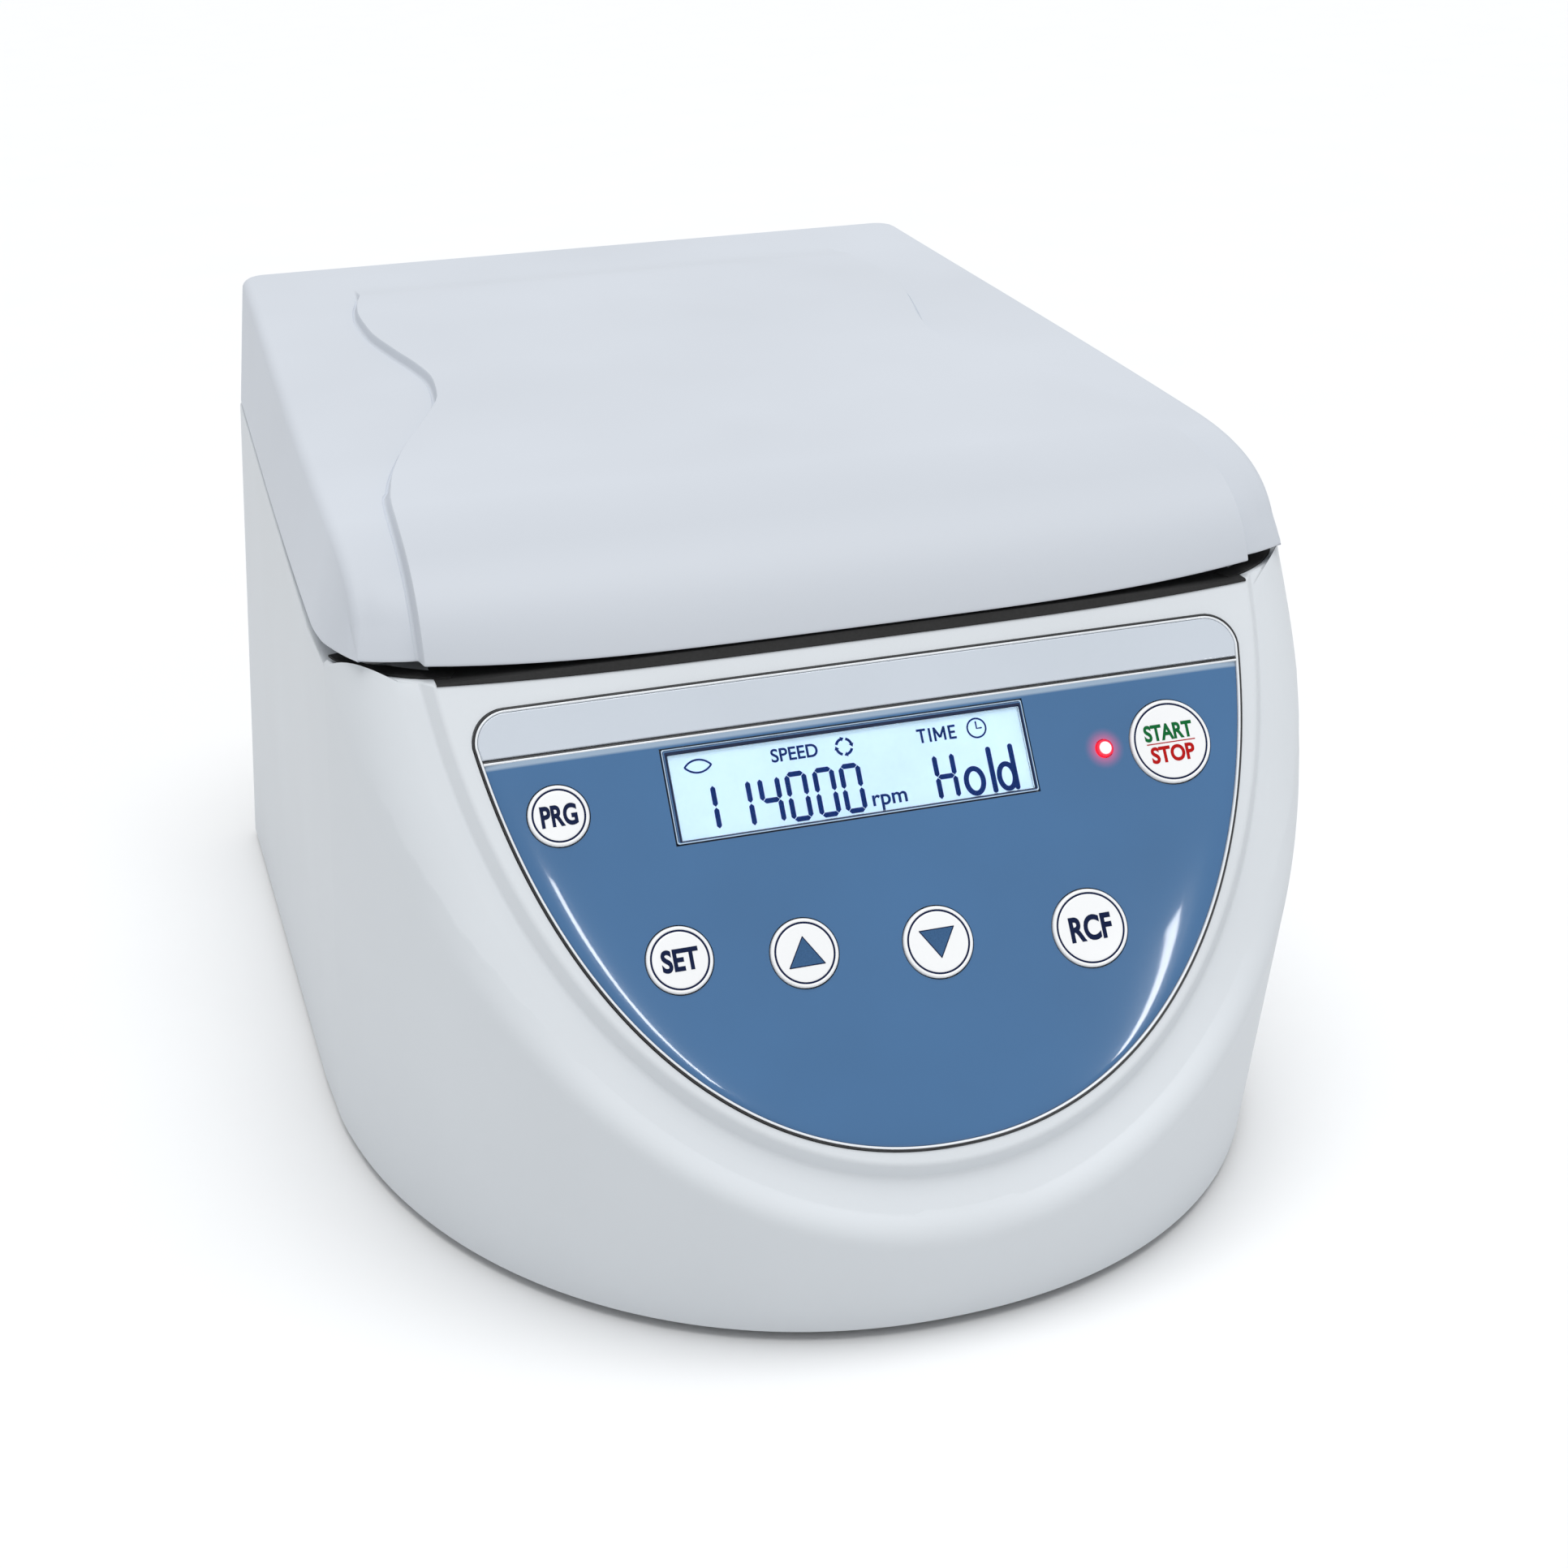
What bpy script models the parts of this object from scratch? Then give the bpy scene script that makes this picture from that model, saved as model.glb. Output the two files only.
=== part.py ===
# Bench centrifuge with a hinged lid, an inclined control panel and a fixed-angle rotor.
# Lengths are metres. A point of the machine is given as x (to the right seen from the front),
# depth (from the rear face towards the front) and height (above the lower edge of the housing).
import math

import bmesh
import bpy
from mathutils import Matrix, Vector

# Fits and cuts
fit_gap = 0.0003
cut_overrun = 0.006

# Deck, and the inclined panel's upper edge, its lean from the vertical and its length
deck_rear_height = 0.1546
deck_drop = 0.003
panel_depth = 0.3043
panel_height = deck_rear_height - deck_drop
panel_lean = math.radians(32.8)
shield_low_share = 0.8476
shield_low = shield_low_share * panel_height
panel_reach = shield_low * math.sin(panel_lean)

# Housing wall, given at its lower edge and at the height of the rim
wall = 0.003
rim_height = 0.152
base_rear_half = 0.1327
side_taper = 0.0014
rear_draft = 0.0125
side_draft = 0.005
base_side_share = 0.6586
rim_side_share = 0.8216
front_setback = 0.0009
front_flare = 0.045
wall_power = 2.12
rear_corner_radius = 0.007
base_side_depth = base_side_share * panel_depth
base_front_depth = panel_depth + panel_reach - front_setback
rim_side_depth = rim_side_share * panel_depth
rim_front_depth = base_front_depth + front_flare
base_side_half = base_rear_half - side_taper
rim_rear_half = base_rear_half - rear_draft
rim_side_half = base_side_half - side_draft
half_share = 0.5

# Crease between the housing wall and the sloping front shoulder
crease_inset = 0.0011
crease_half = rim_side_half - crease_inset
crease_low_share = 0.1847
crease_low_height = crease_low_share * panel_height
crease_power = 1.85

# Raised shield round the panel
shield_rise = 0.0035
shoulder_width = 0.0212
shield_half = crease_half - shoulder_width
shield_start = -0.018
shield_power = 2.05
shield_flank = 0.0026
shoulder_inset = 0.0035
shoulder_drop = 0.0035
shoulder_lift = 0.004

# Panel sheets
pocket_depth = 0.0012
sheet_thickness = 0.0015
shield_margin = 0.005
sheet_half = shield_half - shield_margin
sheet_start = -0.0181
sheet_low = shield_low - shield_rise
sheet_power = 2.149
sheet_top = 0.0075
sheet_corner_radius = 0.0085
strip_low = 0.0194

# Display; what lies across the panel keeps its share of the panel's half width
display_share = -0.0869
frame_width_share = 0.9152
display_x = display_share * sheet_half
display_down = 0.0344
frame_width = frame_width_share * sheet_half
frame_height = 0.0238
frame_band = 0.0017
frame_rise = 0.0002
window_thickness = 0.0008
window_drop = 0.0002
module_margin = 0.0006

# Buttons, lamp and the board behind them
program_share = -0.8101
start_share = 0.7364
set_share = -0.5889
up_share = -0.2909
lower_share = 0.0384
force_share = 0.4253
lamp_share = 0.5606
program_x = program_share * sheet_half
program_down = 0.0344
start_x = start_share * sheet_half
start_down = 0.0382
set_x = set_share * sheet_half
set_down = 0.0718
up_x = up_share * sheet_half
up_down = 0.0749
lower_x = lower_share * sheet_half
lower_down = 0.0775
force_x = force_share * sheet_half
force_down = 0.0802
program_radius = 0.0078
set_radius = 0.0084
arrow_radius = 0.0086
force_radius = 0.0095
start_radius = 0.0103
button_rise = 0.0007
button_edge = 0.0006
button_stroke = 0.0006
button_flange = 0.0014
button_flange_thickness = 0.0012
button_stem_radius = 0.0025
button_stem_length = 0.0037
lamp_x = lamp_share * sheet_half
lamp_down = 0.0375
lamp_radius = 0.0021
lamp_dome = 0.0012
lamp_dome_share = 0.7
switch_pad_radius = 0.003
switch_pad_height = 0.0009
board_thickness = 0.0016
board_inset = 0.009
board_half = sheet_half - board_inset
board_top = 0.020
board_shoulder = 0.048
board_narrowing = 0.030
board_low_half = board_half - board_narrowing
board_low = 0.090

# Lid shell: its height, then its plan at the lower edge, as insets from the rim and the front
lid_seam = 0.001
lid_wall = 0.003
lid_rise = 0.0402
lid_fall = 0.0676
lid_front_gap = 0.0058
lid_front_depth = panel_depth - lid_front_gap
lid_rear_inset = 0.0006
lid_side_inset = 0.0004
lid_side_setback = 0.0271
lid_chamfer_inset = 0.007
lid_chamfer_setback = 0.0061
lid_nose_inset = 0.0202
lid_nose_setback = 0.0006
lid_rear_corner = 0.008
lid_rear_half = rim_rear_half - lid_rear_inset
lid_side_half = rim_side_half - lid_side_inset
lid_side_depth = lid_front_depth - lid_side_setback
lid_chamfer_half = lid_side_half - lid_chamfer_inset
lid_chamfer_depth = lid_front_depth - lid_chamfer_setback
lid_nose_half = lid_side_half - lid_nose_inset
lid_nose_depth = lid_front_depth - lid_nose_setback

# Lid shell: how far each point of that plan leans in up to the rear top edge, and the front bend
lid_rear_lean = 0.0048
lid_side_lean = 0.0105
lid_side_back = 0.0094
lid_chamfer_lean = 0.0049
lid_chamfer_back = 0.0234
lid_nose_lean = 0.0047
lid_nose_back = 0.0149
lid_top_draft = 0.0015
lid_rear_round = 0.004
knee_setback = 0.0565
knee_reach = 0.050
lid_top_rear_half = lid_rear_half - lid_rear_lean
lid_top_side_half = lid_side_half - lid_side_lean
lid_top_side_depth = lid_side_depth - lid_side_back
lid_top_chamfer_half = lid_chamfer_half - lid_chamfer_lean
lid_top_chamfer_depth = lid_chamfer_depth - lid_chamfer_back
lid_top_nose_half = lid_nose_half - lid_nose_lean
lid_top_nose_depth = lid_nose_depth - lid_nose_back
knee_depth = lid_front_depth - knee_setback

# Raised centre of the lid, and the shares that shape its S-shaped edge
raised_rise = 0.0025
raised_lip = 0.0035
raised_knee_lead = 0.004
raised_reach = 0.050
raised_rear_depth = 0.040
raised_full_depth = 0.080
raised_rear_inset = 0.0442
raised_shoulder_inset = 0.040
raised_shoulder_depth = 0.080
raised_waist_inset = 0.0501
raised_waist_depth = 0.152
raised_front_inset = 0.0208
raised_front_depth = lid_front_depth + raised_lip
raised_knee_depth = knee_depth + raised_knee_lead
raised_rear_half = lid_side_half - raised_rear_inset
raised_shoulder_half = lid_side_half - raised_shoulder_inset
raised_waist_half = lid_side_half - raised_waist_inset
raised_front_half = lid_side_half - raised_front_inset
shoulder_pull_share = 0.62
waist_pull_share = 0.38
flare_side_share = 0.62
flare_depth_share = 0.40
flare_pull_share = 0.45
lip_side_share = 0.94
lip_depth_share = 0.68
lip_side_pull_share = 0.85
lip_depth_pull_share = 0.55

# Lid liner
liner_drop = 0.002
liner_thickness = 0.0025
liner_rear_depth = 0.014
liner_front_setback = 0.0065
liner_front_depth = lid_front_depth - liner_front_setback
liner_corner = 0.018
liner_side_inset = 0.010
dome_radius = 0.078
dome_drop = 0.0065

# Lid hinge
hinge_depth = 0.008
hinge_rise = 0.008
hinge_x = 0.070
rod_radius = 0.002
rod_overhang = 0.006
eye_radius = 0.0046
leaf_thickness = 0.003
leaf_side_gap = 0.001
bracket_flange_half = 0.008
bracket_flange_depth = 0.030
bracket_flange_thickness = 0.002
arm_length = 0.040
arm_height = 0.0055
slot_height = 0.0155

# Lid lock
lock_setback = 0.0205
lock_depth = lid_front_depth - lock_setback
striker_width = 0.014
striker_thickness = 0.0025
striker_reach = 0.021
striker_corner = 0.003
striker_hole_radius = 0.0034
lock_slot_half = 0.0045
lock_slot_clearance = 0.003
lock_body_x = 0.009
lock_body_length = 0.036
lock_body_width = 0.020
lock_body_height = 0.017
lock_bolt_radius = 0.0025
lock_bolt_length = 0.026
lock_bolt_tip_x = 0.003
lock_bore_length = 0.024
lock_travel = 0.008
lock_pole_radius = 0.0035
lock_pole_length = 0.004

# Small rubber parts on the deck
front_seal_inset = 0.0097
front_seal_setback = 0.0065
front_seal_half = lid_nose_half - front_seal_inset
front_seal_depth = lid_front_depth - front_seal_setback
front_seal_width = 0.004
front_seal_height = 0.0026
buffer_inset = 0.0124
buffer_setback = 0.0165
buffer_x = lid_side_half - buffer_inset
buffer_depth = lid_front_depth - buffer_setback
buffer_radius = 0.0035
buffer_height = 0.0026

# Chamber, gasket and bowl
chamber_depth_share = 0.4601
chamber_depth = chamber_depth_share * panel_depth
chamber_radius = 0.085
gasket_width = 0.0055
gasket_height = 0.0026
bowl_radius = 0.0862
bowl_wall = 0.0015
bowl_flange = 0.006
bowl_top_drop = 0.0056
bowl_floor_drop = 0.0666
bowl_top_height = deck_rear_height - bowl_top_drop
bowl_floor_height = deck_rear_height - bowl_floor_drop
bowl_corner = 0.012
bowl_hole_radius = 0.0172

# Rotor, spindle and nut
rotor_base_drop = 0.0606
rotor_base_height = deck_rear_height - rotor_base_drop
rotor_radius = 0.074
rotor_height = 0.044
rotor_rim_width = 0.010
rotor_foot_radius = 0.064
rotor_skirt = 0.0095
rotor_dish_radius = 0.028
rotor_floor = 0.008
rotor_hub_radius = 0.014
rotor_hub_top_radius = 0.012
rotor_hub_height = 0.022
spindle_radius = 0.004
spindle_low_drop = 0.1026
spindle_end_drop = 0.0296
spindle_low_height = deck_rear_height - spindle_low_drop
spindle_end_height = deck_rear_height - spindle_end_drop
place_count = 12
place_radius = 0.0055
place_circle = 0.046
place_length = 0.028
nut_radius = 0.011
nut_height = 0.012
nut_groove = 0.0012
nut_grooves = 12
nut_thread_length = 0.0095

# Motor and its mount
motor_radius = 0.042
motor_low_height = 0.0213
motor_top_drop = 0.0763
motor_top_height = deck_rear_height - motor_top_drop
motor_cap_radius = 0.036
motor_cap_height = 0.003
motor_boss_radius = 0.014
motor_boss_height = 0.003
motor_bore_length = 0.034
carrier_radius = 0.058
carrier_thickness = 0.003
damper_count = 3
damper_radius = 0.009
damper_waist = 0.0015
damper_circle = 0.048
seal_radius = 0.0168
seal_height = 0.0055
seal_clearance = 0.0008

# Floor of the machine
floor_thickness = 0.002
floor_height = 0.0012
floor_inset = 0.0042
foot_drop = 0.003
foot_radius = 0.011
foot_taper = 0.0012
rear_foot_inset = 0.0277
rear_foot_x = base_rear_half - rear_foot_inset
rear_foot_depth = 0.034
front_foot_inset = 0.0513
front_foot_x = base_side_half - front_foot_inset
front_foot_setback = 0.0043
front_foot_depth = panel_depth - front_foot_setback

# Rear panel with its vents, inlet and mains switch
rear_opening_half = 0.085
rear_opening_low = 0.020
rear_opening_high = 0.078
rear_panel_overlap = 0.005
rear_panel_thickness = 0.002
vent_count = 9
vent_width = 0.0028
vent_pitch = 0.0075
vent_height = 0.036
vent_first_x = -0.008
inlet_x = 0.058
inlet_height = 0.049
inlet_body_width = 0.0278
inlet_body_height = 0.0204
inlet_body_length = 0.024
inlet_mouth_width = 0.0246
inlet_mouth_height = 0.0166
inlet_mouth_length = 0.019
inlet_flange_width = 0.0330
inlet_flange_height = 0.0260
inlet_flange_thickness = 0.0015
pin_width = 0.002
pin_height = 0.004
pin_length = 0.012
pin_spacing = 0.007
pin_lift = 0.0035
pin_root = 0.003
mains_x = 0.024
mains_height = 0.049
mains_body_width = 0.0132
mains_body_height = 0.0234
mains_body_length = 0.017
mains_flange_width = 0.0165
mains_flange_height = 0.0270
mains_mouth_width = 0.0106
mains_mouth_height = 0.0202
mains_mouth_length = 0.013
rocker_width = 0.0096
rocker_half = 0.0082
rocker_centre = 0.0040
rocker_end = 0.0056
rocker_keel_half = 0.0040
rocker_keel = 0.0034
rocker_pivot_depth = 0.0075
rocker_tilt = math.radians(9)

# Power board
power_board_x = -0.030
power_board_depth = 0.040
power_board_width = 0.110
power_board_length = 0.050
power_board_thickness = 0.0016
standoff_height = 0.006
standoff_radius = 0.003
standoff_inset = 0.006
coil_radius = 0.012
coil_height = 0.020
coil_x = -0.025
heat_sink_width = 0.040
heat_sink_depth = 0.012
heat_sink_height = 0.024
heat_sink_x = 0.024

# Counts that set how fine the round shapes are
large_round = 56
round_steps = 32
small_round = 20
button_round = 28
corner_steps = 3
shoulder_steps = 4
front_steps = 18
outline_steps = 20
bend_steps = 8
side_column_shares = (0.34, 0.68, 1.0)

finishes = {
    "housing_white": ((0.74, 0.77, 0.80), 0.42, 0.0),
    "lid_white": ((0.78, 0.81, 0.85), 0.42, 0.0),
    "liner_grey": ((0.55, 0.57, 0.59), 0.5, 0.0),
    "panel_blue": ((0.10, 0.20, 0.38), 0.25, 0.0),
    "strip_silver": ((0.66, 0.69, 0.73), 0.3, 0.2),
    "button_white": ((0.86, 0.87, 0.88), 0.35, 0.0),
    "frame_navy": ((0.03, 0.05, 0.12), 0.3, 0.0),
    "clear_window": ((0.75, 0.88, 0.96), 0.08, 0.0),
    "display_blue": ((0.62, 0.82, 0.94), 0.3, 0.0),
    "lamp_red": ((0.90, 0.05, 0.08), 0.2, 0.0),
    "board_green": ((0.05, 0.22, 0.10), 0.5, 0.0),
    "black_rubber": ((0.02, 0.02, 0.02), 0.8, 0.0),
    "grey_rubber": ((0.60, 0.61, 0.62), 0.8, 0.0),
    "bright_steel": ((0.62, 0.63, 0.65), 0.28, 1.0),
    "dark_steel": ((0.20, 0.21, 0.22), 0.4, 1.0),
    "aluminium": ((0.55, 0.56, 0.58), 0.35, 1.0),
    "black_plastic": ((0.02, 0.02, 0.022), 0.45, 0.0),
}

for old in list(bpy.data.objects):
    bpy.data.objects.remove(old)


def mix(first, second, share):
    return first + (second - first) * share


def wall_front(height):
    return mix(base_front_depth, rim_front_depth, height / rim_height)


housing_depth = wall_front(crease_low_height)
rear_y = housing_depth / 2
deck_slope = (deck_rear_height - panel_height) / panel_depth
lid_low_height = deck_rear_height + lid_seam
lid_top_height = lid_low_height + lid_rise
hinge_height = lid_low_height + hinge_rise
rise_along = Vector((0.0, math.sin(panel_lean), math.cos(panel_lean)))
panel_normal = Vector((0.0, -math.cos(panel_lean), math.sin(panel_lean)))


def at(x, depth, height):
    return Vector((x, rear_y - depth, foot_drop + height))


def deck_height(depth):
    return deck_rear_height - deck_slope * depth


def on_panel(x, down, out):
    return at(x, panel_depth, panel_height) - rise_along * down + panel_normal * out


def material(name):
    found = bpy.data.materials.get(name)
    if found:
        return found
    made = bpy.data.materials.new(name)
    made.use_nodes = True
    shader = made.node_tree.nodes["Principled BSDF"]
    colour, roughness, metallic = finishes[name]
    shader.inputs["Base Color"].default_value = (*colour, 1.0)
    shader.inputs["Roughness"].default_value = roughness
    shader.inputs["Metallic"].default_value = metallic
    made.diffuse_color = (*colour, 1.0)
    return made


def add_object(name, solid, finish, place=None, turn=None):
    bmesh.ops.recalc_face_normals(solid, faces=solid.faces)
    mesh = bpy.data.meshes.new(name)
    solid.to_mesh(mesh)
    solid.free()
    mesh.shade_smooth()
    mesh.set_sharp_from_angle(angle=math.radians(32))
    made = bpy.data.objects.new(name, mesh)
    bpy.context.scene.collection.objects.link(made)
    if finish:
        mesh.materials.append(material(finish))
    if place is not None:
        made.location = place
    if turn is not None:
        made.rotation_euler = turn
    return made


def loft(rings):
    # Closed skin through rings of equal length, with a face over the first and the last
    solid = bmesh.new()
    rows = [[solid.verts.new(point) for point in ring] for ring in rings]
    for low, high in zip(rows, rows[1:]):
        for index in range(len(low)):
            after = (index + 1) % len(low)
            solid.faces.new((low[index], low[after], high[after], high[index]))
    solid.faces.new(rows[0])
    solid.faces.new(rows[-1])
    return solid


def block(low, high):
    corners = [(low[0], low[1]), (high[0], low[1]), (high[0], high[1]), (low[0], high[1])]
    return loft([[Vector((x, y, z)) for x, y in corners] for z in (low[2], high[2])])


def turned(section, steps):
    # Revolves a closed section of (radius, height) points about the vertical
    solid = bmesh.new()
    columns = []
    poles = {}
    for step in range(steps):
        angle = 2 * math.pi * step / steps
        column = []
        for index, (radius, height) in enumerate(section):
            if radius > 0:
                column.append(solid.verts.new((radius * math.cos(angle), radius * math.sin(angle), height)))
            else:
                if index not in poles:
                    poles[index] = solid.verts.new((0.0, 0.0, height))
                column.append(poles[index])
        columns.append(column)
    for step in range(steps):
        here = columns[step]
        there = columns[(step + 1) % steps]
        for index in range(len(section)):
            after = (index + 1) % len(section)
            corners = []
            for corner in (here[index], there[index], there[after], here[after]):
                if corner not in corners:
                    corners.append(corner)
            if len(corners) > 2:
                solid.faces.new(corners)
    return solid


def combine(target, other, operation):
    other.hide_render = True
    other.display_type = "WIRE"
    step = target.modifiers.new(operation.lower(), "BOOLEAN")
    step.operation = operation
    step.object = other
    step.solver = "EXACT"


def cut(target, other):
    combine(target, other, "DIFFERENCE")


def join(target, other):
    combine(target, other, "UNION")


def keep(target, other):
    combine(target, other, "INTERSECT")


def box_object(name, low, high, finish=None):
    # A block between two corners given as (x, depth, height)
    first = at(*low)
    second = at(*high)
    smallest = [min(pair) for pair in zip(first, second)]
    largest = [max(pair) for pair in zip(first, second)]
    return add_object(name, block(smallest, largest), finish)


def turned_object(name, section, finish, place, steps=round_steps, turn=None):
    return add_object(name, turned(section, steps), finish, place, turn)


def rod_along_x(name, radius, low_x, high_x, depth, height, finish, steps=small_round):
    section = [(0.0, 0.0), (radius, 0.0), (radius, high_x - low_x), (0.0, high_x - low_x)]
    return turned_object(name, section, finish, at(low_x, depth, height), steps, (0.0, math.pi / 2, 0.0))


def side_plate(name, outline, low_x, high_x, finish=None):
    # Extrudes an outline of (depth, height) points across the machine
    rings = [[at(x, depth, height) for depth, height in outline] for x in (low_x, high_x)]
    return add_object(name, loft(rings), finish)


def panel_plate(name, outline, low, high, finish=None):
    # Extrudes an outline of (x, down the panel) points along the panel's normal
    rings = [[on_panel(x, down, out) for x, down in outline] for out in (low, high)]
    return add_object(name, loft(rings), finish)


def panel_turned(name, section, x, down, finish, steps):
    turn = (math.pi / 2 - panel_lean, 0.0, 0.0)
    return turned_object(name, section, finish, on_panel(x, down, 0.0), steps, turn)


def circle_outline(centre, radius, first, last, steps):
    points = []
    for step in range(steps + 1):
        angle = mix(first, last, step / steps)
        points.append((centre[0] + radius * math.cos(angle), centre[1] + radius * math.sin(angle)))
    return points


def rounded_rectangle(width, height, radius, steps=corner_steps):
    points = []
    for quarter, (side, up) in enumerate(((1, 1), (-1, 1), (-1, -1), (1, -1))):
        centre = (side * (width / 2 - radius), up * (height / 2 - radius))
        first = quarter * math.pi / 2
        points += circle_outline(centre, radius, first, first + math.pi / 2, steps)
    return points


def bend(start, corner, end, steps):
    # Quadratic curve from start to end, pulled towards corner
    points = []
    for step in range(steps + 1):
        share = step / steps
        pull = [mix(first, second, share) for first, second in zip(start, corner)]
        push = [mix(first, second, share) for first, second in zip(corner, end)]
        points.append(tuple(mix(first, second, share) for first, second in zip(pull, push)))
    return points


def bow(half, start, low, power, first, steps):
    # Right half of a U drawn as (x, down), from the given start down to the middle line
    first_angle = math.asin(((first - start) / (low - start)) ** (power / 2))
    points = []
    for step in range(steps + 1):
        angle = mix(first_angle, math.pi / 2, step / steps)
        x = half * max(math.cos(angle), 0.0) ** (2 / power)
        down = start + (low - start) * math.sin(angle) ** (2 / power)
        points.append((x if step < steps else 0.0, down))
    return points


def mirrored(half_points):
    # Continues a half outline that ends on the middle line back up the other side
    return half_points + [(-x, other) for x, other in reversed(half_points[:-1])]


def wall_point(angle, height):
    share = height / rim_height
    half = mix(base_side_half, rim_side_half, share)
    side = mix(base_side_depth, rim_side_depth, share)
    x = half * max(math.cos(angle), 0.0) ** (2 / wall_power)
    depth = side + (wall_front(height) - side) * math.sin(angle) ** (2 / wall_power)
    return x, depth


def side_point(share, height):
    level = height / rim_height
    half = mix(mix(base_rear_half, rim_rear_half, level), mix(base_side_half, rim_side_half, level), share)
    return half, share * mix(base_side_depth, rim_side_depth, level)


def rear_point(turn, height):
    rear_half = mix(base_rear_half, rim_rear_half, height / rim_height)
    x = rear_half - rear_corner_radius * (1 - math.sin(turn))
    return x, rear_corner_radius * (1 - math.cos(turn))


def to_deck(point_at):
    # Follows a wall line up to the sloping deck
    height = deck_rear_height
    for attempt in range(3):
        height = deck_height(point_at(height)[1])
    return height


def crease_point(angle):
    x = crease_half * max(math.cos(angle), 0.0) ** (2 / crease_power)
    crease_top = deck_height(mix(rim_side_depth, panel_depth, half_share))
    height = crease_top - (crease_top - crease_low_height) * math.sin(angle) ** (2 / crease_power)
    half = mix(base_side_half, rim_side_half, height / rim_height)
    turn = math.acos(min(x / half, 1.0) ** (wall_power / 2))
    return turn, height


def housing_columns():
    # Right half of the housing skin, from the middle of the rear to the middle of the front.
    # Each column runs up from the lower edge; front columns go on over the shoulder to the shield.
    columns = []

    def rise(point_at, height):
        return [at(*point_at(level), level) for level in (0.0, height / 2, height)]

    def rear_middle(height):
        return 0.0, 0.0

    columns.append(rise(rear_middle, to_deck(rear_middle)))
    for step in range(corner_steps + 1):
        turn = math.pi / 2 * step / corner_steps

        def corner(height, turn=turn):
            return rear_point(turn, height)

        columns.append(rise(corner, to_deck(corner)))
    for share in side_column_shares:

        def side(height, share=share):
            return side_point(share, height)

        columns.append(rise(side, to_deck(side)))
    edge = bow(shield_half, shield_start, shield_low, shield_power, 0.0, front_steps)
    foot_first = -shield_rise * math.tan(panel_lean) - deck_slope * shield_rise
    foot = bow(shield_half + shield_flank, shield_start, shield_low + shield_flank, shield_power,
               foot_first, front_steps)
    for step in range(front_steps + 1):
        turn, height = crease_point(math.pi / 2 * step / front_steps)
        column = [at(*wall_point(turn, level), level) for level in (0.0, height / 2, height)]
        if step == front_steps:
            column = [Vector((0.0, point.y, point.z)) for point in column]
        crease = column[-1]
        start = on_panel(*foot[step], -shield_rise)
        inset = min(shoulder_inset, crease.x / 2)
        share = 1 - step / front_steps
        corner = Vector((crease.x - inset * share, crease.y, crease.z))
        reach = (corner - on_panel(0.0, 0.0, -shield_rise - shoulder_drop * share)).dot(panel_normal)
        corner -= panel_normal * reach
        corner += rise_along * shoulder_lift * (1 - share) * share
        for point in bend(crease, corner, start, shoulder_steps)[1:]:
            column.append(Vector(point))
        column.append(on_panel(*edge[step], 0.0))
        if step == 0:
            for index in range(2, len(column)):
                depth = rear_y - column[index].y
                column[index].z = foot_drop + deck_height(depth)
        columns.append(column)
    return columns


def housing_skin():
    right = housing_columns()
    skin = bmesh.new()
    rows = [[skin.verts.new(point) for point in column] for column in right]
    left = []
    for column in reversed(right[1:-1]):
        left.append([skin.verts.new((-point.x, point.y, point.z)) for point in column])
    around = rows + left
    for index, column in enumerate(around):
        after = around[(index + 1) % len(around)]
        for level in range(min(len(column), len(after)) - 1):
            skin.faces.new((column[level], after[level], after[level + 1], column[level + 1]))
    front = around[len(right) - front_steps - 1:len(right) + front_steps]
    skin.faces.new([column[-1] for column in front])
    low_columns = [column[-1] for column in around if len(column) == len(right[0])]
    split = len(right) - front_steps - 1
    deck = low_columns[:split]
    deck += front[0][2:]
    deck += list(reversed(front[-1][2:]))
    deck += low_columns[split:]
    skin.faces.new(deck)
    return skin


def make_housing():
    housing = add_object("housing", housing_skin(), "housing_white")
    shell = housing.modifiers.new("wall", "SOLIDIFY")
    shell.thickness = wall
    shell.offset = -1.0
    shell.use_even_offset = True
    return housing


def sheet_outline(half, start, low, top, corner_radius, growth=0.0):
    # Outline of the panel sheets: rounded upper corners and a bowed lower edge
    side = bow(half + growth, start, low + growth, sheet_power, top + corner_radius, outline_steps)
    centre = (side[0][0] - corner_radius, top - growth + corner_radius)
    corner = circle_outline(centre, corner_radius, -math.pi / 2, 0.0, bend_steps // 2)[:-1]
    return mirrored(corner + side)


def lower_sheet_outline(top):
    side = bow(sheet_half, sheet_start, sheet_low, sheet_power, top, outline_steps)
    return mirrored(side)


def strip_outline():
    side = bow(sheet_half, sheet_start, sheet_low, sheet_power, strip_low, outline_steps)
    first = sheet_top + sheet_corner_radius
    upper = bow(sheet_half, sheet_start, sheet_low, sheet_power, first, outline_steps)
    centre = (upper[0][0] - sheet_corner_radius, sheet_top + sheet_corner_radius)
    corner = circle_outline(centre, sheet_corner_radius, -math.pi / 2, 0.0, bend_steps // 2)
    right = corner + [side[0]]
    return right + [(-x, down) for x, down in reversed(right)]


buttons = {
    "button_program": (program_x, program_down, program_radius),
    "button_start_stop": (start_x, start_down, start_radius),
    "button_set": (set_x, set_down, set_radius),
    "button_up": (up_x, up_down, arrow_radius),
    "button_down": (lower_x, lower_down, arrow_radius),
    "button_rcf": (force_x, force_down, force_radius),
}
sheet_seat = -pocket_depth + fit_gap
sheet_face = sheet_seat + sheet_thickness
flange_face = -wall - fit_gap
flange_back = flange_face - button_flange_thickness
stem_end = flange_back - button_stem_length
pad_top = stem_end - button_stroke - fit_gap
board_face = pad_top - switch_pad_height


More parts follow.
